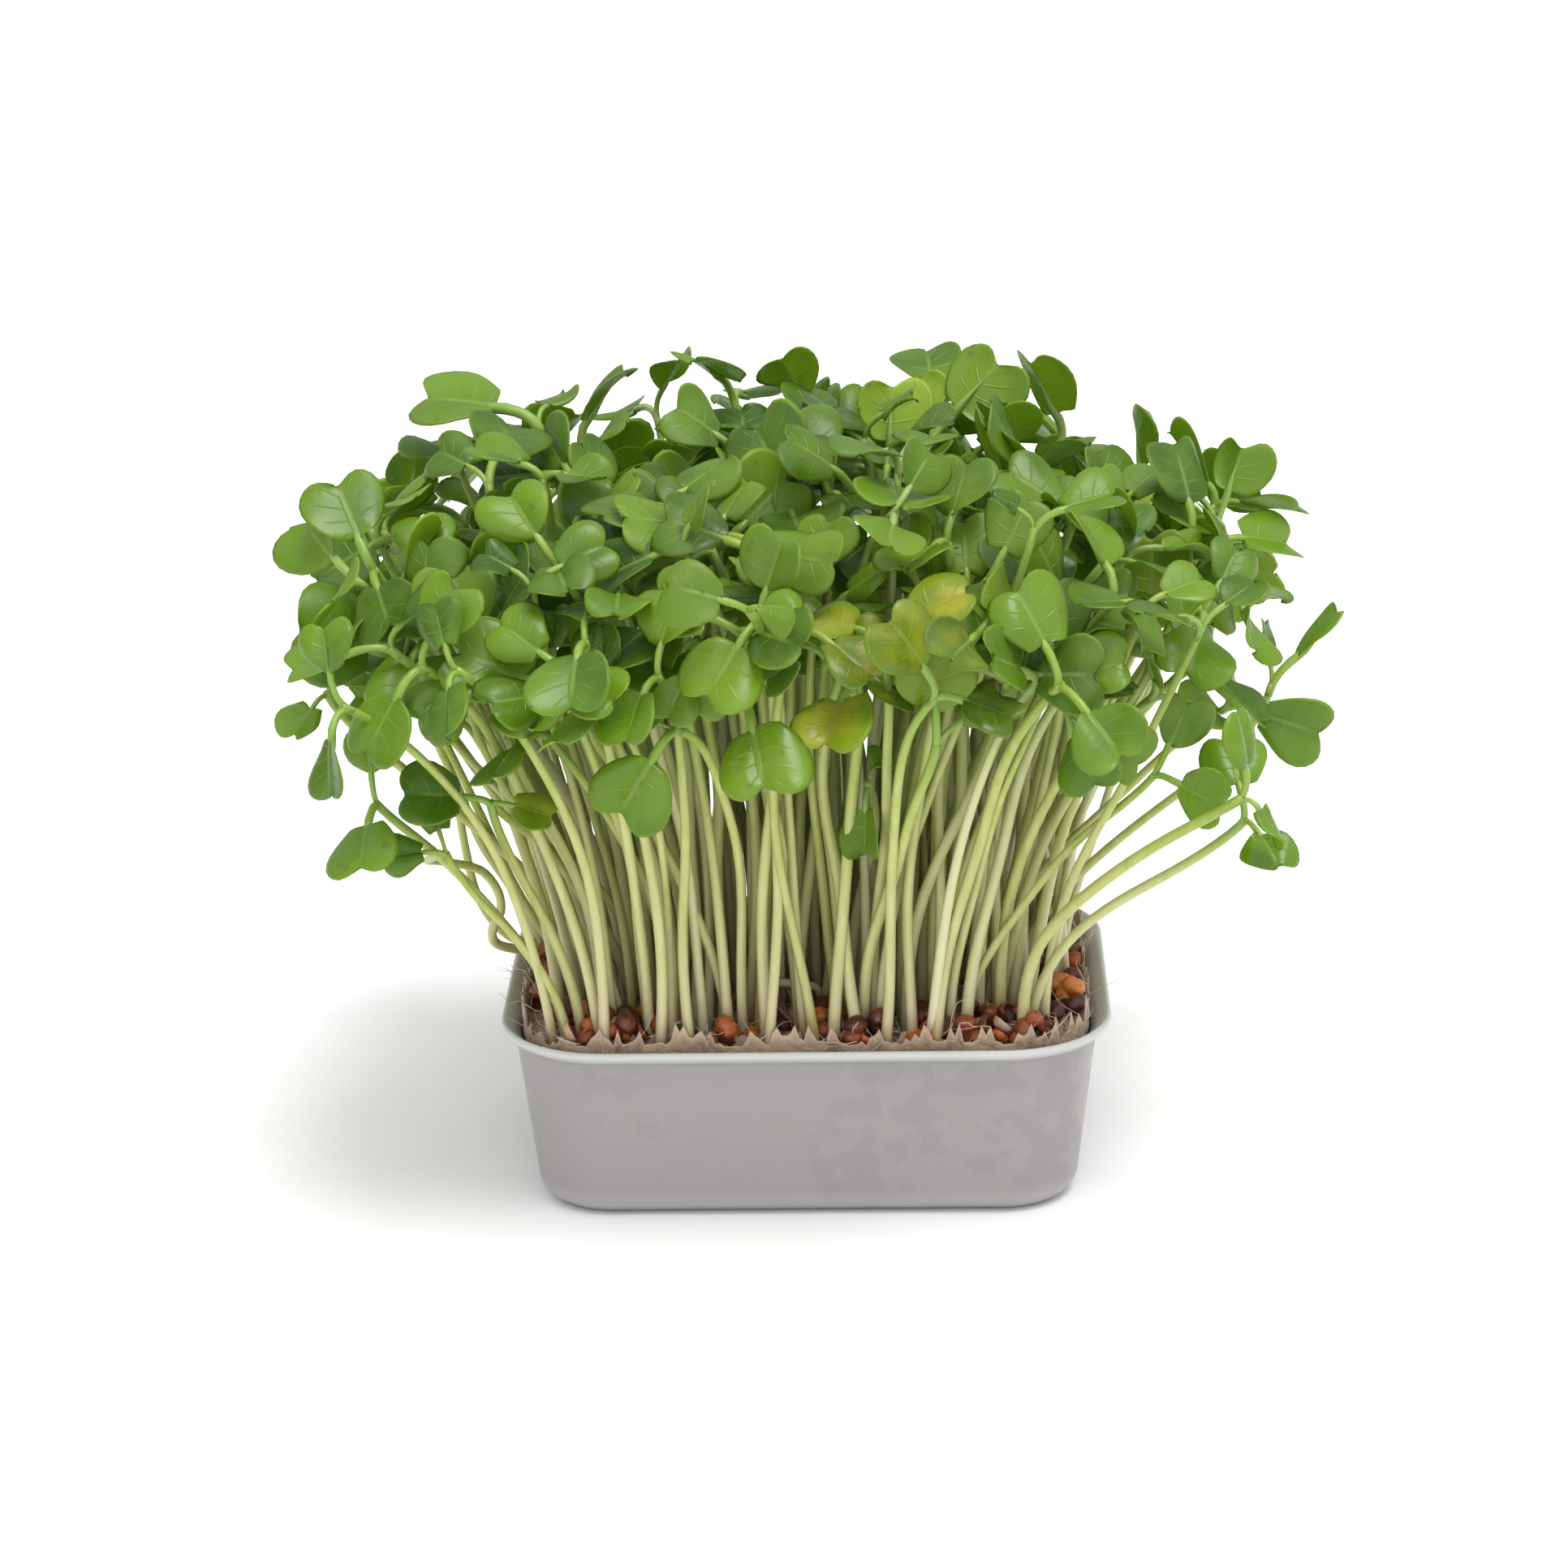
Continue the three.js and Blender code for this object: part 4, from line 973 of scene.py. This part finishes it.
def scattered_seeds(rng, roots, piled):
    """Seeds lying on the mat and heaped on each other, thickest in front and at the right."""
    seeds = []
    centres = [np.array(seed[:3]) for seed in piled]
    for count, low, high in SEED_BANDS:
        wanted = len(seeds) + count
        for _ in range(SEED_TRIES):
            spot = rng.uniform(low, high)
            height = resting_height(spot, centres)
            clear = min(math.dist(spot, root) for root in roots) > SEED_FROM_STEM
            if on_mat(*spot) and clear and height < mat_top(*spot) + SEED_STACK_LIMIT:
                centres.append(np.array([*spot, height]))
                turn = rng.uniform(0, math.pi)
                tilt = rng.uniform(-LOOSE_SEED_TILT, LOOSE_SEED_TILT)
                seeds.append((*spot, height, turn, tilt))
            if len(seeds) == wanted:
                break
    return seeds


# Tray
def rounded_ring(inset, corner_steps, side_steps):
    """Rounded rectangle seen from above, anticlockwise, with as many points on any inset."""
    half = np.array([RIM_LENGTH / 2 - inset, RIM_WIDTH / 2 - inset])
    radius = max(RIM_RADIUS - inset, 1)
    ring = []
    for corner, (side_x, side_y) in enumerate(((1, 1), (-1, 1), (-1, -1), (1, -1))):
        angles = (corner + np.arange(corner_steps + 1) / corner_steps) * math.pi / 2
        centre = (half - radius) * (side_x, side_y)
        arc = centre + radius * np.stack([np.cos(angles), np.sin(angles)], axis=1)
        ring.append(arc)
        length = 2 * (half - radius)[corner % 2]
        share = np.arange(1, side_steps)[:, None] / side_steps
        step = np.array([[-side_x, 0], [0, -side_y]][corner % 2])
        ring.append(arc[-1] + share * length * step)
    return np.concatenate(ring)


def tray_section():
    """Inset and height, from the underside up the outside, over the lip and down the inside."""
    turn = np.linspace(0, math.pi / 2, ROUNDING_STEPS)
    outside = np.stack([
        BASE_INSET + BASE_ROUNDING * (1 - np.sin(turn)), BASE_ROUNDING * (1 - np.cos(turn))], axis=1)
    foot = TRAY_HEIGHT - LIP_DROP
    rise = np.linspace(*WALL_STEPS)
    inset = BASE_INSET + (LIP_REACH - BASE_INSET) * rise
    height = BASE_ROUNDING + (foot - BASE_ROUNDING) * rise
    wall = np.stack([inset, height], axis=1)
    lip = through([(reach, foot + up) for reach, up in LIP_PROFILE], LIP_STEPS)
    inside = np.stack([inset[::-1] + WALL, height[::-1]], axis=1)
    radius = BASE_ROUNDING - WALL
    bowl = np.stack([
        BASE_INSET + WALL + radius * (1 - np.cos(turn)), WALL + radius * (1 - np.sin(turn))], axis=1)
    return np.concatenate([outside, wall, lip, inside, bowl])


def tray_piece(material):
    section = tray_section()
    count = 4 * sum(TRAY_STEPS)
    rings = [np.column_stack([rounded_ring(inset, *TRAY_STEPS), np.full(count, z)]) for inset, z in section]
    points = np.concatenate([*rings, [[0, 0, 0], [0, 0, WALL]]])
    surface = Surface("height")
    surface.add(points, capped_faces(len(section), count), height=points[:, 2] / TRAY_HEIGHT)
    piece = surface.made("tray_moulded", material)
    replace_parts(piece, "tray")


# Mat
def fibre_noise(x, y, scale, shift=0.0):
    return np.array([noise.fractal(Vector((a * scale, b * scale, shift)), 0.9, 2.1, 4) for a, b in zip(x, y)])


def mound(x, y, roots):
    """How far the felt is drawn up round the stems."""
    gaps = np.hypot(x[:, None] - roots[:, 0], y[:, None] - roots[:, 1])
    return ROOT_MOUND[0] * np.exp(-(gaps.min(axis=1) / ROOT_MOUND[1]) ** 2)


def mat_piece(material, roots):
    count = 4 * sum(MAT_STEPS)
    rings = []
    for inset, z in MAT_UNDERSIDE:
        ring = rounded_ring(BASE_INSET + inset - MAT_SHELF, *MAT_STEPS)
        rings.append(np.column_stack([ring, np.full(count, z)]))
    for inset in (*MAT_EDGE_RINGS, *np.linspace(*MAT_INNER_RINGS)):
        ring = rounded_ring(inset, *MAT_STEPS)
        x, y = ring.T
        rough = fibre_noise(x, y, MAT_ROUGH_SCALE)
        fine = fibre_noise(x, y, MAT_FINE_SCALE, 7.0)
        ring = ring * (1 - MAT_WANDER * rough[:, None] * (inset > MAT_WANDER_FROM))
        z = mat_top(x, y) + MAT_ROUGH_HEIGHT * rough + MAT_FINE_HEIGHT * fine + mound(x, y, roots)
        rings.append(np.column_stack([ring, z]))
    points = np.concatenate([*rings, [[0, 0, MAT_LOW], [0, 0, mat_top(0, 0)]]])
    surface = Surface("ragged")
    surface.add(points, capped_faces(len(rings), count))
    piece = surface.made("growing_mat_felt", material)
    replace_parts(piece, "growing_mat")


def felt_ring(inset, tall):
    """One thin ragged wall of felt, as a closed loop of points at every place round it, and its tips."""
    ring = rounded_ring(inset, *FELT_STEPS)
    outward = unit(ring - np.roll(ring, 1, axis=0))[:, ::-1] * (1, -1)
    x, y = ring.T
    ridges = np.abs(fibre_noise(x, y, FELT_PEAK_SCALE, 11.0 + inset))
    peaks = (1 - ridges * FELT_PEAK_NARROWING).clip(0, 1) ** 2
    fray = fibre_noise(x, y, FELT_FRAY_SCALE, 5.0 + inset).clip(-0.4, 1)
    height = (FELT_PEAK_SHARE * peaks + FELT_FRAY_SHARE * fray).clip(0, 1)
    rise = tall * (FELT_RISE[0] + (FELT_RISE[1] - FELT_RISE[0]) * height)
    sway = FELT_SWAY * fibre_noise(x, y, FELT_SWAY_SCALE, 17.0 + inset)
    lean = FELT_LEAN_SLOPE * inset - FELT_LEAN_START + sway
    share = np.linspace(0, 1, FELT_ROWS)
    foot = mat_top(x, y) - FELT_DEPTH
    thick, thin = FELT_HALF
    loop = []
    for side, steps in ((1, share), (-1, share[::-1])):
        for step in steps:
            crumple = FELT_CRUMPLE * fibre_noise(x, y, FELT_CRUMPLE_SCALE, 3 * step) * step
            out = side * (thick - (thick - thin) * step) - lean * step ** 2 + crumple
            loop.append(np.column_stack([ring + outward * out[:, None], foot + step * (rise + FELT_DEPTH)]))
    tips = np.column_stack([ring - outward * lean[:, None], foot + rise + FELT_TIP_RISE])
    return np.stack(loop, axis=1), np.concatenate([share, share[::-1]]), tips


def torn_edge(material, rng):
    """Thin ragged felt standing up from the mat all round, inside the rim."""
    surface = Surface("ragged")
    tips = []
    for inset, tall in FELT_RINGS:
        points, share, ring_tips = felt_ring(inset, tall)
        count, sides, _ = points.shape
        faces = ring_faces(count + 1, sides) % (count * sides)
        surface.add(points.reshape(-1, 3), faces, ragged=np.tile(share, count))
        tips.append(ring_tips)
    piece = surface.made("mat_torn_edge", material)
    tips = np.concatenate(tips)
    return tips[rng.integers(0, len(tips), EDGE_FIBRES)]


def strands(rng, starts, ways, lengths, radii, waver, steps=FIBRE_STEPS):
    """Thin wavy fibres from their starts along their ways, as paths and radii."""
    count = len(starts)
    share = np.linspace(0, 1, steps)[None, :, None]
    paths = starts[:, None] + ways[:, None] * lengths[:, None, None] * share
    drift = rng.normal(0, 1, (count, 3, 3))
    for turn in range(3):
        wave = np.sin(math.pi * (turn + 1) * share / 1.3 + rng.uniform(0, 6, (count, 1, 1))) - 0.2
        paths = paths + waver * drift[:, turn][:, None] * lengths[:, None, None] * share * wave / (turn + 1)
    taper = radii[:, None] * np.linspace(1, FIBRE_THINNING, steps)
    return paths, taper


def add_strands(surface, rng, paths, radii, sides=FIBRE_SIDES, across=FIBRE_ACROSS):
    """Adds strands as closed tubes, each of its own tint."""
    points, faces, _ = tubes(paths, radii, sides, across)
    tints = rng.uniform(0, 1, len(paths))
    surface.add(points, faces, tint=np.repeat(tints, len(points) // len(paths)))


def mat_fibres(material, tips, rng):
    """Loose fibres lying on the mat, and others that stand out of its torn edge."""
    surface = Surface("tint")
    x, y = (rng.uniform(-half, half, MAT_FIBRES) for half in FIBRE_AREA)
    kept = [on_mat(*spot) for spot in zip(x, y)]
    x, y = x[kept], y[kept]
    lying = np.column_stack([x, y, mat_top(x, y) + rng.uniform(0, FIBRE_LIFT, len(x))])
    starts = np.concatenate([lying, tips])
    turn = rng.uniform(0, 2 * math.pi, len(starts))
    rise = np.concatenate([rng.uniform(*LYING_RISE, len(lying)), rng.uniform(*STANDING_RISE, len(tips))])
    ways = np.column_stack([np.cos(turn), np.sin(turn), rise])
    lengths = rng.uniform(*FIBRE_LENGTH, len(starts))
    thick = rng.uniform(*FIBRE_RADIUS, len(starts))
    add_strands(surface, rng, *strands(rng, starts, ways, lengths, thick, FIBRE_WAVER))
    piece = surface.made("mat_fibres", material)


def root_hairs(material, roots, rng):
    """White hairs round the foot of each stem."""
    surface = Surface("tint")
    roots = np.repeat(np.array(roots), HAIRS_PER_STEM, axis=0)
    turn = rng.uniform(0, 2 * math.pi, len(roots))
    out = np.column_stack([np.cos(turn), np.sin(turn)])
    foot = roots + HAIR_OUT * out
    starts = np.column_stack([foot, mat_top(*foot.T) + rng.uniform(*HAIR_HEIGHT, len(roots))])
    ways = np.column_stack([out, rng.uniform(*HAIR_RISE, len(roots))])
    lengths = rng.uniform(*HAIR_LENGTH, len(roots))
    thick = np.full(len(roots), HAIR_RADIUS)
    add_strands(surface, rng, *strands(rng, starts, ways, lengths, thick, HAIR_WAVER, HAIR_STEPS))
    piece = surface.made("root_hairs", material)


# Materials
class Graph:
    """A node material, built by adding nodes whose inputs are values or other nodes' sockets."""

    def __init__(self, name):
        self.material = bpy.data.materials.new(name)
        self.material.use_nodes = True
        self.tree = self.material.node_tree
        self.tree.nodes.clear()

    def add(self, kind, inputs, output=0, **settings):
        node = self.tree.nodes.new(kind)
        for name, value in settings.items():
            setattr(node, name, value)
        for key, value in inputs.items():
            if isinstance(value, bpy.types.NodeSocket):
                self.tree.links.new(value, node.inputs[key])
            else:
                node.inputs[key].default_value = value
        return node.outputs[output]

    def trait(self, name):
        return self.add("ShaderNodeAttribute", {}, "Fac", attribute_name=name)

    def noise(self, scale, detail, vector=None):
        inputs = {"Scale": scale, "Detail": detail, "Vector": vector or self.place()}
        return self.add("ShaderNodeTexNoise", inputs, "Fac")

    def place(self):
        return self.add("ShaderNodeTexCoord", {}, "Object")

    def stretched(self, x, y, z):
        return self.add("ShaderNodeMapping", {"Vector": self.place(), "Scale": (x, y, z)})

    def math(self, operation, a, b=0.0, clamp=False):
        return self.add("ShaderNodeMath", {0: a, 1: b}, operation=operation, use_clamp=clamp)

    def times(self, a, b, clamp=False):
        return self.math("MULTIPLY", a, b, clamp)

    def plus(self, a, b):
        return self.math("ADD", a, b)

    def between(self, value, low, high, to_low=0.0, to_high=1.0):
        inputs = {"Value": value, "From Min": low, "From Max": high, "To Min": to_low, "To Max": to_high}
        return self.add("ShaderNodeMapRange", inputs, "Result", interpolation_type="SMOOTHSTEP")

    def mix(self, factor, a, b):
        return self.add("ShaderNodeMix", {0: factor, 6: a, 7: b}, 2, data_type="RGBA")

    def ramp(self, factor, stops):
        node = self.tree.nodes.new("ShaderNodeValToRGB")
        self.tree.links.new(factor, node.inputs[0])
        while len(node.color_ramp.elements) < len(stops):
            node.color_ramp.elements.new(0.5)
        for element, (position, colour) in zip(node.color_ramp.elements, stops):
            element.position = position
            element.color = (*colour, 1)
        return node.outputs[0]

    def bump(self, height, strength, distance):
        inputs = {"Height": height, "Strength": strength, "Distance": distance * MM}
        return self.add("ShaderNodeBump", inputs)

    def principled(self, inputs):
        return self.add("ShaderNodeBsdfPrincipled", inputs)

    def finish(self, shader):
        node = self.tree.nodes.new("ShaderNodeOutputMaterial")
        self.tree.links.new(shader, node.inputs["Surface"])
        return self.material


def rgb(red, green, blue):
    return (red, green, blue, 1)


def leaf_material():
    g = Graph("seed_leaf")
    tint = g.trait("tint")
    mottle = g.noise(160, 4)
    patch = g.noise(60, 2)
    shade = g.plus(g.times(tint, 0.5), g.between(patch, 0.35, 0.65, -0.25, 0.25))
    shade = g.between(shade, -0.6, 0.6)
    top = g.mix(shade, rgb(0.034, 0.092, 0.003), rgb(0.165, 0.29, 0.01))
    # Lighter patches over the upper face: partly the leaves' waxy bloom, partly a painted highlight.
    bloom_and_highlight = g.between(mottle, 0.4, 0.75, 0.0, 0.45)
    top = g.mix(bloom_and_highlight, top, rgb(0.17, 0.28, 0.06))
    under = g.mix(shade, rgb(0.14, 0.26, 0.01), rgb(0.3, 0.45, 0.025))
    skin = g.mix(g.trait("upper"), under, top)
    inner = g.between(g.trait("edge"), 0.6, 0.95, 1.0, 0.45)
    yellow = g.times(g.trait("yellow"), g.between(mottle, 0.38, 0.6, 0.35, 1.1))
    yellow = g.times(yellow, inner, clamp=True)
    skin = g.mix(yellow, skin, rgb(0.52, 0.47, 0.03))
    veins = vein_mask(g)
    skin = g.mix(g.times(veins, 0.5), skin, rgb(0.27, 0.41, 0.08))
    # A lighter band along the leaf margin: a painted rim highlight.
    margin_highlight = g.between(g.trait("edge"), 0.93, 1.0, 0.0, 0.6)
    skin = g.mix(margin_highlight, skin, rgb(0.34, 0.47, 0.06))
    blemish = g.between(g.noise(420, 1), 0.72, 0.76, 0.0, 0.5)
    skin = g.mix(blemish, skin, rgb(0.13, 0.1, 0.03))
    grain = g.noise(900, 2)
    relief = g.math("SUBTRACT", g.times(grain, 0.25), g.times(veins, 0.9))
    normal = g.bump(g.plus(relief, g.times(mottle, 0.6)), 0.45, 0.3)
    wet = g.trait("wet")
    dry = g.between(mottle, 0.3, 0.7, 0.28, 0.44)
    rough = g.math("SUBTRACT", dry, g.times(wet, 0.2), clamp=True)
    body = g.principled({
        "Base Color": skin, "Roughness": rough, "Normal": normal, "Specular IOR Level": 0.45})
    glow = g.mix(yellow, rgb(0.3, 0.56, 0.015), rgb(0.7, 0.6, 0.03))
    through_light = g.add("ShaderNodeBsdfTranslucent", {"Color": glow, "Normal": normal})
    return g.finish(g.add("ShaderNodeMixShader", {0: 0.3, 1: body, 2: through_light}))


def vein_mask(g):
    """Pale lines: the midrib, and side veins that leave it and run out to the lobes."""
    across = g.math("ABSOLUTE", g.trait("across"))
    along = g.trait("along")
    midrib = g.between(across, 0.012, 0.04, 1.0, 0.0)
    midrib = g.times(midrib, g.between(along, 0.45, 0.7, 1.0, 0.0))
    edge = g.trait("edge")
    place = g.plus(g.times(g.trait("vein"), 5.2), g.times(edge, -0.5))
    wander = g.times(g.noise(140, 2), 0.5)
    offset = g.math("PINGPONG", g.plus(place, wander), 0.5)
    side = g.between(offset, 0.0, 0.075, 1.0, 0.0)
    side = g.times(side, g.between(edge, 0.25, 0.85, 0.8, 0.0))
    return g.math("MAXIMUM", midrib, side)


def stem_material():
    g = Graph("stem")
    streak = g.noise(700, 3, g.stretched(1, 1, 0.06))
    height = g.times(g.trait("height"), 1 / 1.5)
    place = g.plus(height, g.times(g.trait("tint"), 0.03))
    skin = g.ramp(place, (
        (0.0, (0.32, 0.19, 0.12)), (0.03, (0.4, 0.28, 0.19)), (0.06, (0.54, 0.47, 0.29)),
        (0.13, (0.48, 0.49, 0.21)), (0.32, (0.43, 0.47, 0.14)), (0.5, (0.34, 0.42, 0.07)),
        (0.64, (0.2, 0.33, 0.035)), (1.0, (0.15, 0.28, 0.022))))
    low = g.between(place, 0.4, 0.62, 1.0, 0.25)
    pale = g.times(low, g.between(g.trait("tint"), 0.1, 0.7, 0.0, 0.55))
    skin = g.mix(pale, skin, rgb(0.68, 0.66, 0.46))
    skin = g.mix(g.between(g.trait("tint"), -0.6, -0.1, 0.5, 0.0), skin, rgb(0.3, 0.35, 0.035))
    skin = g.mix(g.times(low, g.between(streak, 0.3, 0.7, 0.0, 0.3)), skin, rgb(0.68, 0.66, 0.36))
    normal = g.bump(streak, 0.25, 0.2)
    body = g.principled({
        "Base Color": skin, "Roughness": 0.36, "Normal": normal, "Specular IOR Level": 0.5,
        "Subsurface Weight": 0.25, "Subsurface Radius": (0.7, 0.8, 0.3), "Subsurface Scale": 0.0012})
    return g.finish(body)


def seed_material():
    g = Graph("seed_coat")
    pits = g.noise(1500, 2)
    patch = g.noise(250, 3)
    skin = g.ramp(g.trait("tint"), (
        (0.0, (0.045, 0.01, 0.006)), (0.35, (0.11, 0.022, 0.01)), (0.6, (0.26, 0.055, 0.015)),
        (0.85, (0.52, 0.13, 0.025)), (1.0, (0.62, 0.2, 0.04))))
    skin = g.mix(g.between(patch, 0.45, 0.7, 0.0, 0.5), skin, rgb(0.36, 0.09, 0.025))
    skin = g.mix(g.between(pits, 0.35, 0.5, 0.5, 0.0), skin, rgb(0.07, 0.018, 0.01))
    skin = g.mix(g.times(g.trait("pale"), 0.8), skin, rgb(0.55, 0.4, 0.28))
    # The inside of an open coat is painted near black: painted shade in its hollow.
    skin = g.mix(g.times(g.trait("inside"), 0.75), skin, rgb(0.035, 0.012, 0.008))
    normal = g.bump(g.plus(pits, patch), 0.5, 0.25)
    body = g.principled({"Base Color": skin, "Roughness": 0.4, "Normal": normal, "Specular IOR Level": 0.5})
    return g.finish(body)


def mat_material():
    g = Graph("felted_fibre")
    clump = g.noise(130, 5)
    fibres = g.noise(900, 6, g.stretched(1, 0.35, 1))
    damp = g.noise(35, 2)
    skin = g.mix(g.between(clump, 0.35, 0.65), rgb(0.25, 0.15, 0.095), rgb(0.42, 0.29, 0.2))
    skin = g.mix(g.between(fibres, 0.5, 0.75, 0.0, 0.6), skin, rgb(0.54, 0.42, 0.32))
    skin = g.mix(g.between(damp, 0.5, 0.7, 0.0, 0.5), skin, rgb(0.26, 0.16, 0.11))
    skin = g.mix(g.between(g.trait("ragged"), 0.3, 1.0, 0.0, 0.75), skin, rgb(0.56, 0.42, 0.31))
    normal = g.bump(g.plus(fibres, clump), 0.9, 0.7)
    body = g.principled({
        "Base Color": skin, "Roughness": 0.92, "Normal": normal,
        "Sheen Weight": 0.35, "Sheen Roughness": 0.5})
    return g.finish(body)


def fibre_material(name, dark, light):
    g = Graph(name)
    streak = g.noise(1200, 2)
    skin = g.mix(g.trait("tint"), dark, light)
    skin = g.mix(g.between(streak, 0.4, 0.7, 0.0, 0.3), skin, light)
    body = g.principled({"Base Color": skin, "Roughness": 0.8, "Normal": g.bump(streak, 0.3, 0.05)})
    return g.finish(body)


def tray_material():
    g = Graph("tray_plastic")
    spread = g.between(g.noise(24, 1), 0.48, 0.6)
    cloud = g.noise(190, 2)
    fine = g.noise(3000, 2)
    stain = g.times(spread, g.between(cloud, 0.5, 0.55, 0.0, 1.0))
    skin = g.mix(stain, rgb(0.3, 0.283, 0.283), rgb(0.28, 0.262, 0.265))
    height = g.trait("height")
    # Near the top the plastic turns light: a painted highlight along the lip.
    skin = g.mix(g.between(height, 0.9, 0.99, 0.0, 0.85), skin, rgb(0.55, 0.57, 0.55))
    # A lighter band low on the outside, over the base rounding: a painted highlight on the bevel.
    foot = g.times(g.between(height, 0.02, 0.07), g.between(height, 0.07, 0.17, 1.0, 0.0))
    skin = g.mix(g.times(foot, 0.6), skin, rgb(0.4, 0.39, 0.385))
    rough = g.between(cloud, 0.4, 0.6, 0.3, 0.36)
    body = g.principled({
        "Base Color": skin, "Roughness": rough, "Normal": g.bump(fine, 0.08, 0.05),
        "Subsurface Weight": 0.3, "Subsurface Radius": (1, 1, 0.95), "Subsurface Scale": 0.002})
    return g.finish(body)


def floor_material():
    g = Graph("pale_floor")
    skin = g.mix(g.between(g.noise(3, 2), 0.4, 0.6), rgb(0.93, 0.93, 0.93), rgb(0.94, 0.94, 0.94))
    return g.finish(g.principled({"Base Color": skin, "Roughness": 0.8, "Specular IOR Level": 0.2}))


# Stage
def make_camera():
    yaw, pitch, roll = (math.radians(angle) for angle in (VIEW_YAW, VIEW_PITCH, VIEW_ROLL))
    ahead = np.array([math.sin(yaw) * math.cos(pitch), math.cos(yaw) * math.cos(pitch), -math.sin(pitch)])
    level = np.array([math.cos(yaw), -math.sin(yaw), 0])
    upright = np.cross(level, ahead)
    right = level * math.cos(roll) + upright * math.sin(roll)
    up = np.cross(right, ahead)
    data = bpy.data.cameras.new("camera")
    data.lens = FOCAL_LENGTH
    data.sensor_width = SENSOR
    data.clip_start, data.clip_end = CLIP
    camera = linked("camera", data)
    rows = [[right[i], up[i], -ahead[i], VIEW_PLACE[i] * MM] for i in range(3)]
    camera.matrix_world = Matrix([*rows, [0, 0, 0, 1]])
    bpy.context.scene.camera = camera


def make_sun(name, place, softness, strength):
    """A light from far away in the direction of a place, soft by its width in degrees."""
    data = bpy.data.lights.new(name, "SUN")
    data.angle = math.radians(softness)
    data.energy = strength
    light = linked(name, data)
    light.rotation_euler = (-Vector(place)).to_track_quat("-Z", "Y").to_euler()


def make_world():
    """A plain white studio, brighter overhead than at the sides."""
    world = bpy.data.worlds.new("studio")
    world.use_nodes = True
    tree = world.node_tree
    sky = tree.nodes["Background"]
    place = tree.nodes.new("ShaderNodeTexCoord")
    parts = tree.nodes.new("ShaderNodeSeparateXYZ")
    tree.links.new(place.outputs["Generated"], parts.inputs["Vector"])
    level = tree.nodes.new("ShaderNodeMapRange")
    for name, value in zip(("From Min", "From Max", "To Min", "To Max"), (0, 1, *SKY_LEVELS)):
        level.inputs[name].default_value = value
    tree.links.new(parts.outputs["Z"], level.inputs["Value"])
    tree.links.new(level.outputs["Result"], sky.inputs["Strength"])
    sky.inputs["Color"].default_value = rgb(1, 1, 1)
    bpy.context.scene.world = world


def make_stage():
    half = FLOOR_SIZE / 2 * MM
    mesh = bpy.data.meshes.new("floor")
    corners = [(-half, -half, 0), (half, -half, 0), (half, half, 0), (-half, half, 0)]
    mesh.from_pydata(corners, [], [(0, 1, 2, 3)])
    mesh.materials.append(floor_material())
    floor = linked("floor", mesh)
    make_world()
    for sun in SUNS:
        make_sun(*sun)
    bpy.context.scene.view_settings.view_transform = "Standard"


def build():
    make_camera()
    make_stage()
    draw = Draw(SEED)
    crowd = Crowd()
    spots = grown_clumps(draw, crowd)
    low = crowd.points[crowd.points[:, 2] < LOW_STEM]
    taken = np.concatenate([low, *(tuft_corners(spot) for spot in spots)])
    piles = [(name, seed_spots(draw, (x, y), taken)) for name, x, y in SEED_PILES]
    rng = np.random.default_rng(LOOK_SEED)
    materials = (stem_material(), leaf_material())
    tray_piece(tray_material())
    seed_skin = seed_material()
    for name, seeds in piles:
        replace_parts(seeds_piece(name + "_fine", seeds, rng, seed_skin), name)
    for number, spot in enumerate(spots, 1):
        name = f"sprouts_{number:02d}"
        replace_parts(sprouts_piece(name + "_fine", spot["sprouts"], rng, materials), name)
    roots = [tuple(sprout["stem"][0][:2]) for spot in spots for sprout in spot["sprouts"]]
    added = added_sprouts(crowd, roots, rng)
    for number in range(ADDED_PIECES):
        sprouts = added[number::ADDED_PIECES]
        sprouts_piece(f"sprouts_between_{number + 1}", sprouts, rng, materials)
    stray_stems(materials[0], rng)
    withered_tuft(fibre_material("withered_stem", rgb(0.17, 0.1, 0.075), rgb(0.4, 0.28, 0.21)), rng)
    felt = mat_material()
    mat_piece(felt, np.array(roots))
    tips = torn_edge(felt, rng)
    mat_fibres(fibre_material("loose_fibre", rgb(0.42, 0.3, 0.22), rgb(0.75, 0.64, 0.54)), tips, rng)
    piled = [seed for _, seeds in piles for seed in seeds]
    seeds_piece("seed_coats_scattered", scattered_seeds(rng, roots, piled), rng, seed_skin)
    root_hairs(fibre_material("root_hair", rgb(0.7, 0.66, 0.55), rgb(0.9, 0.88, 0.8)), roots, rng)


build()
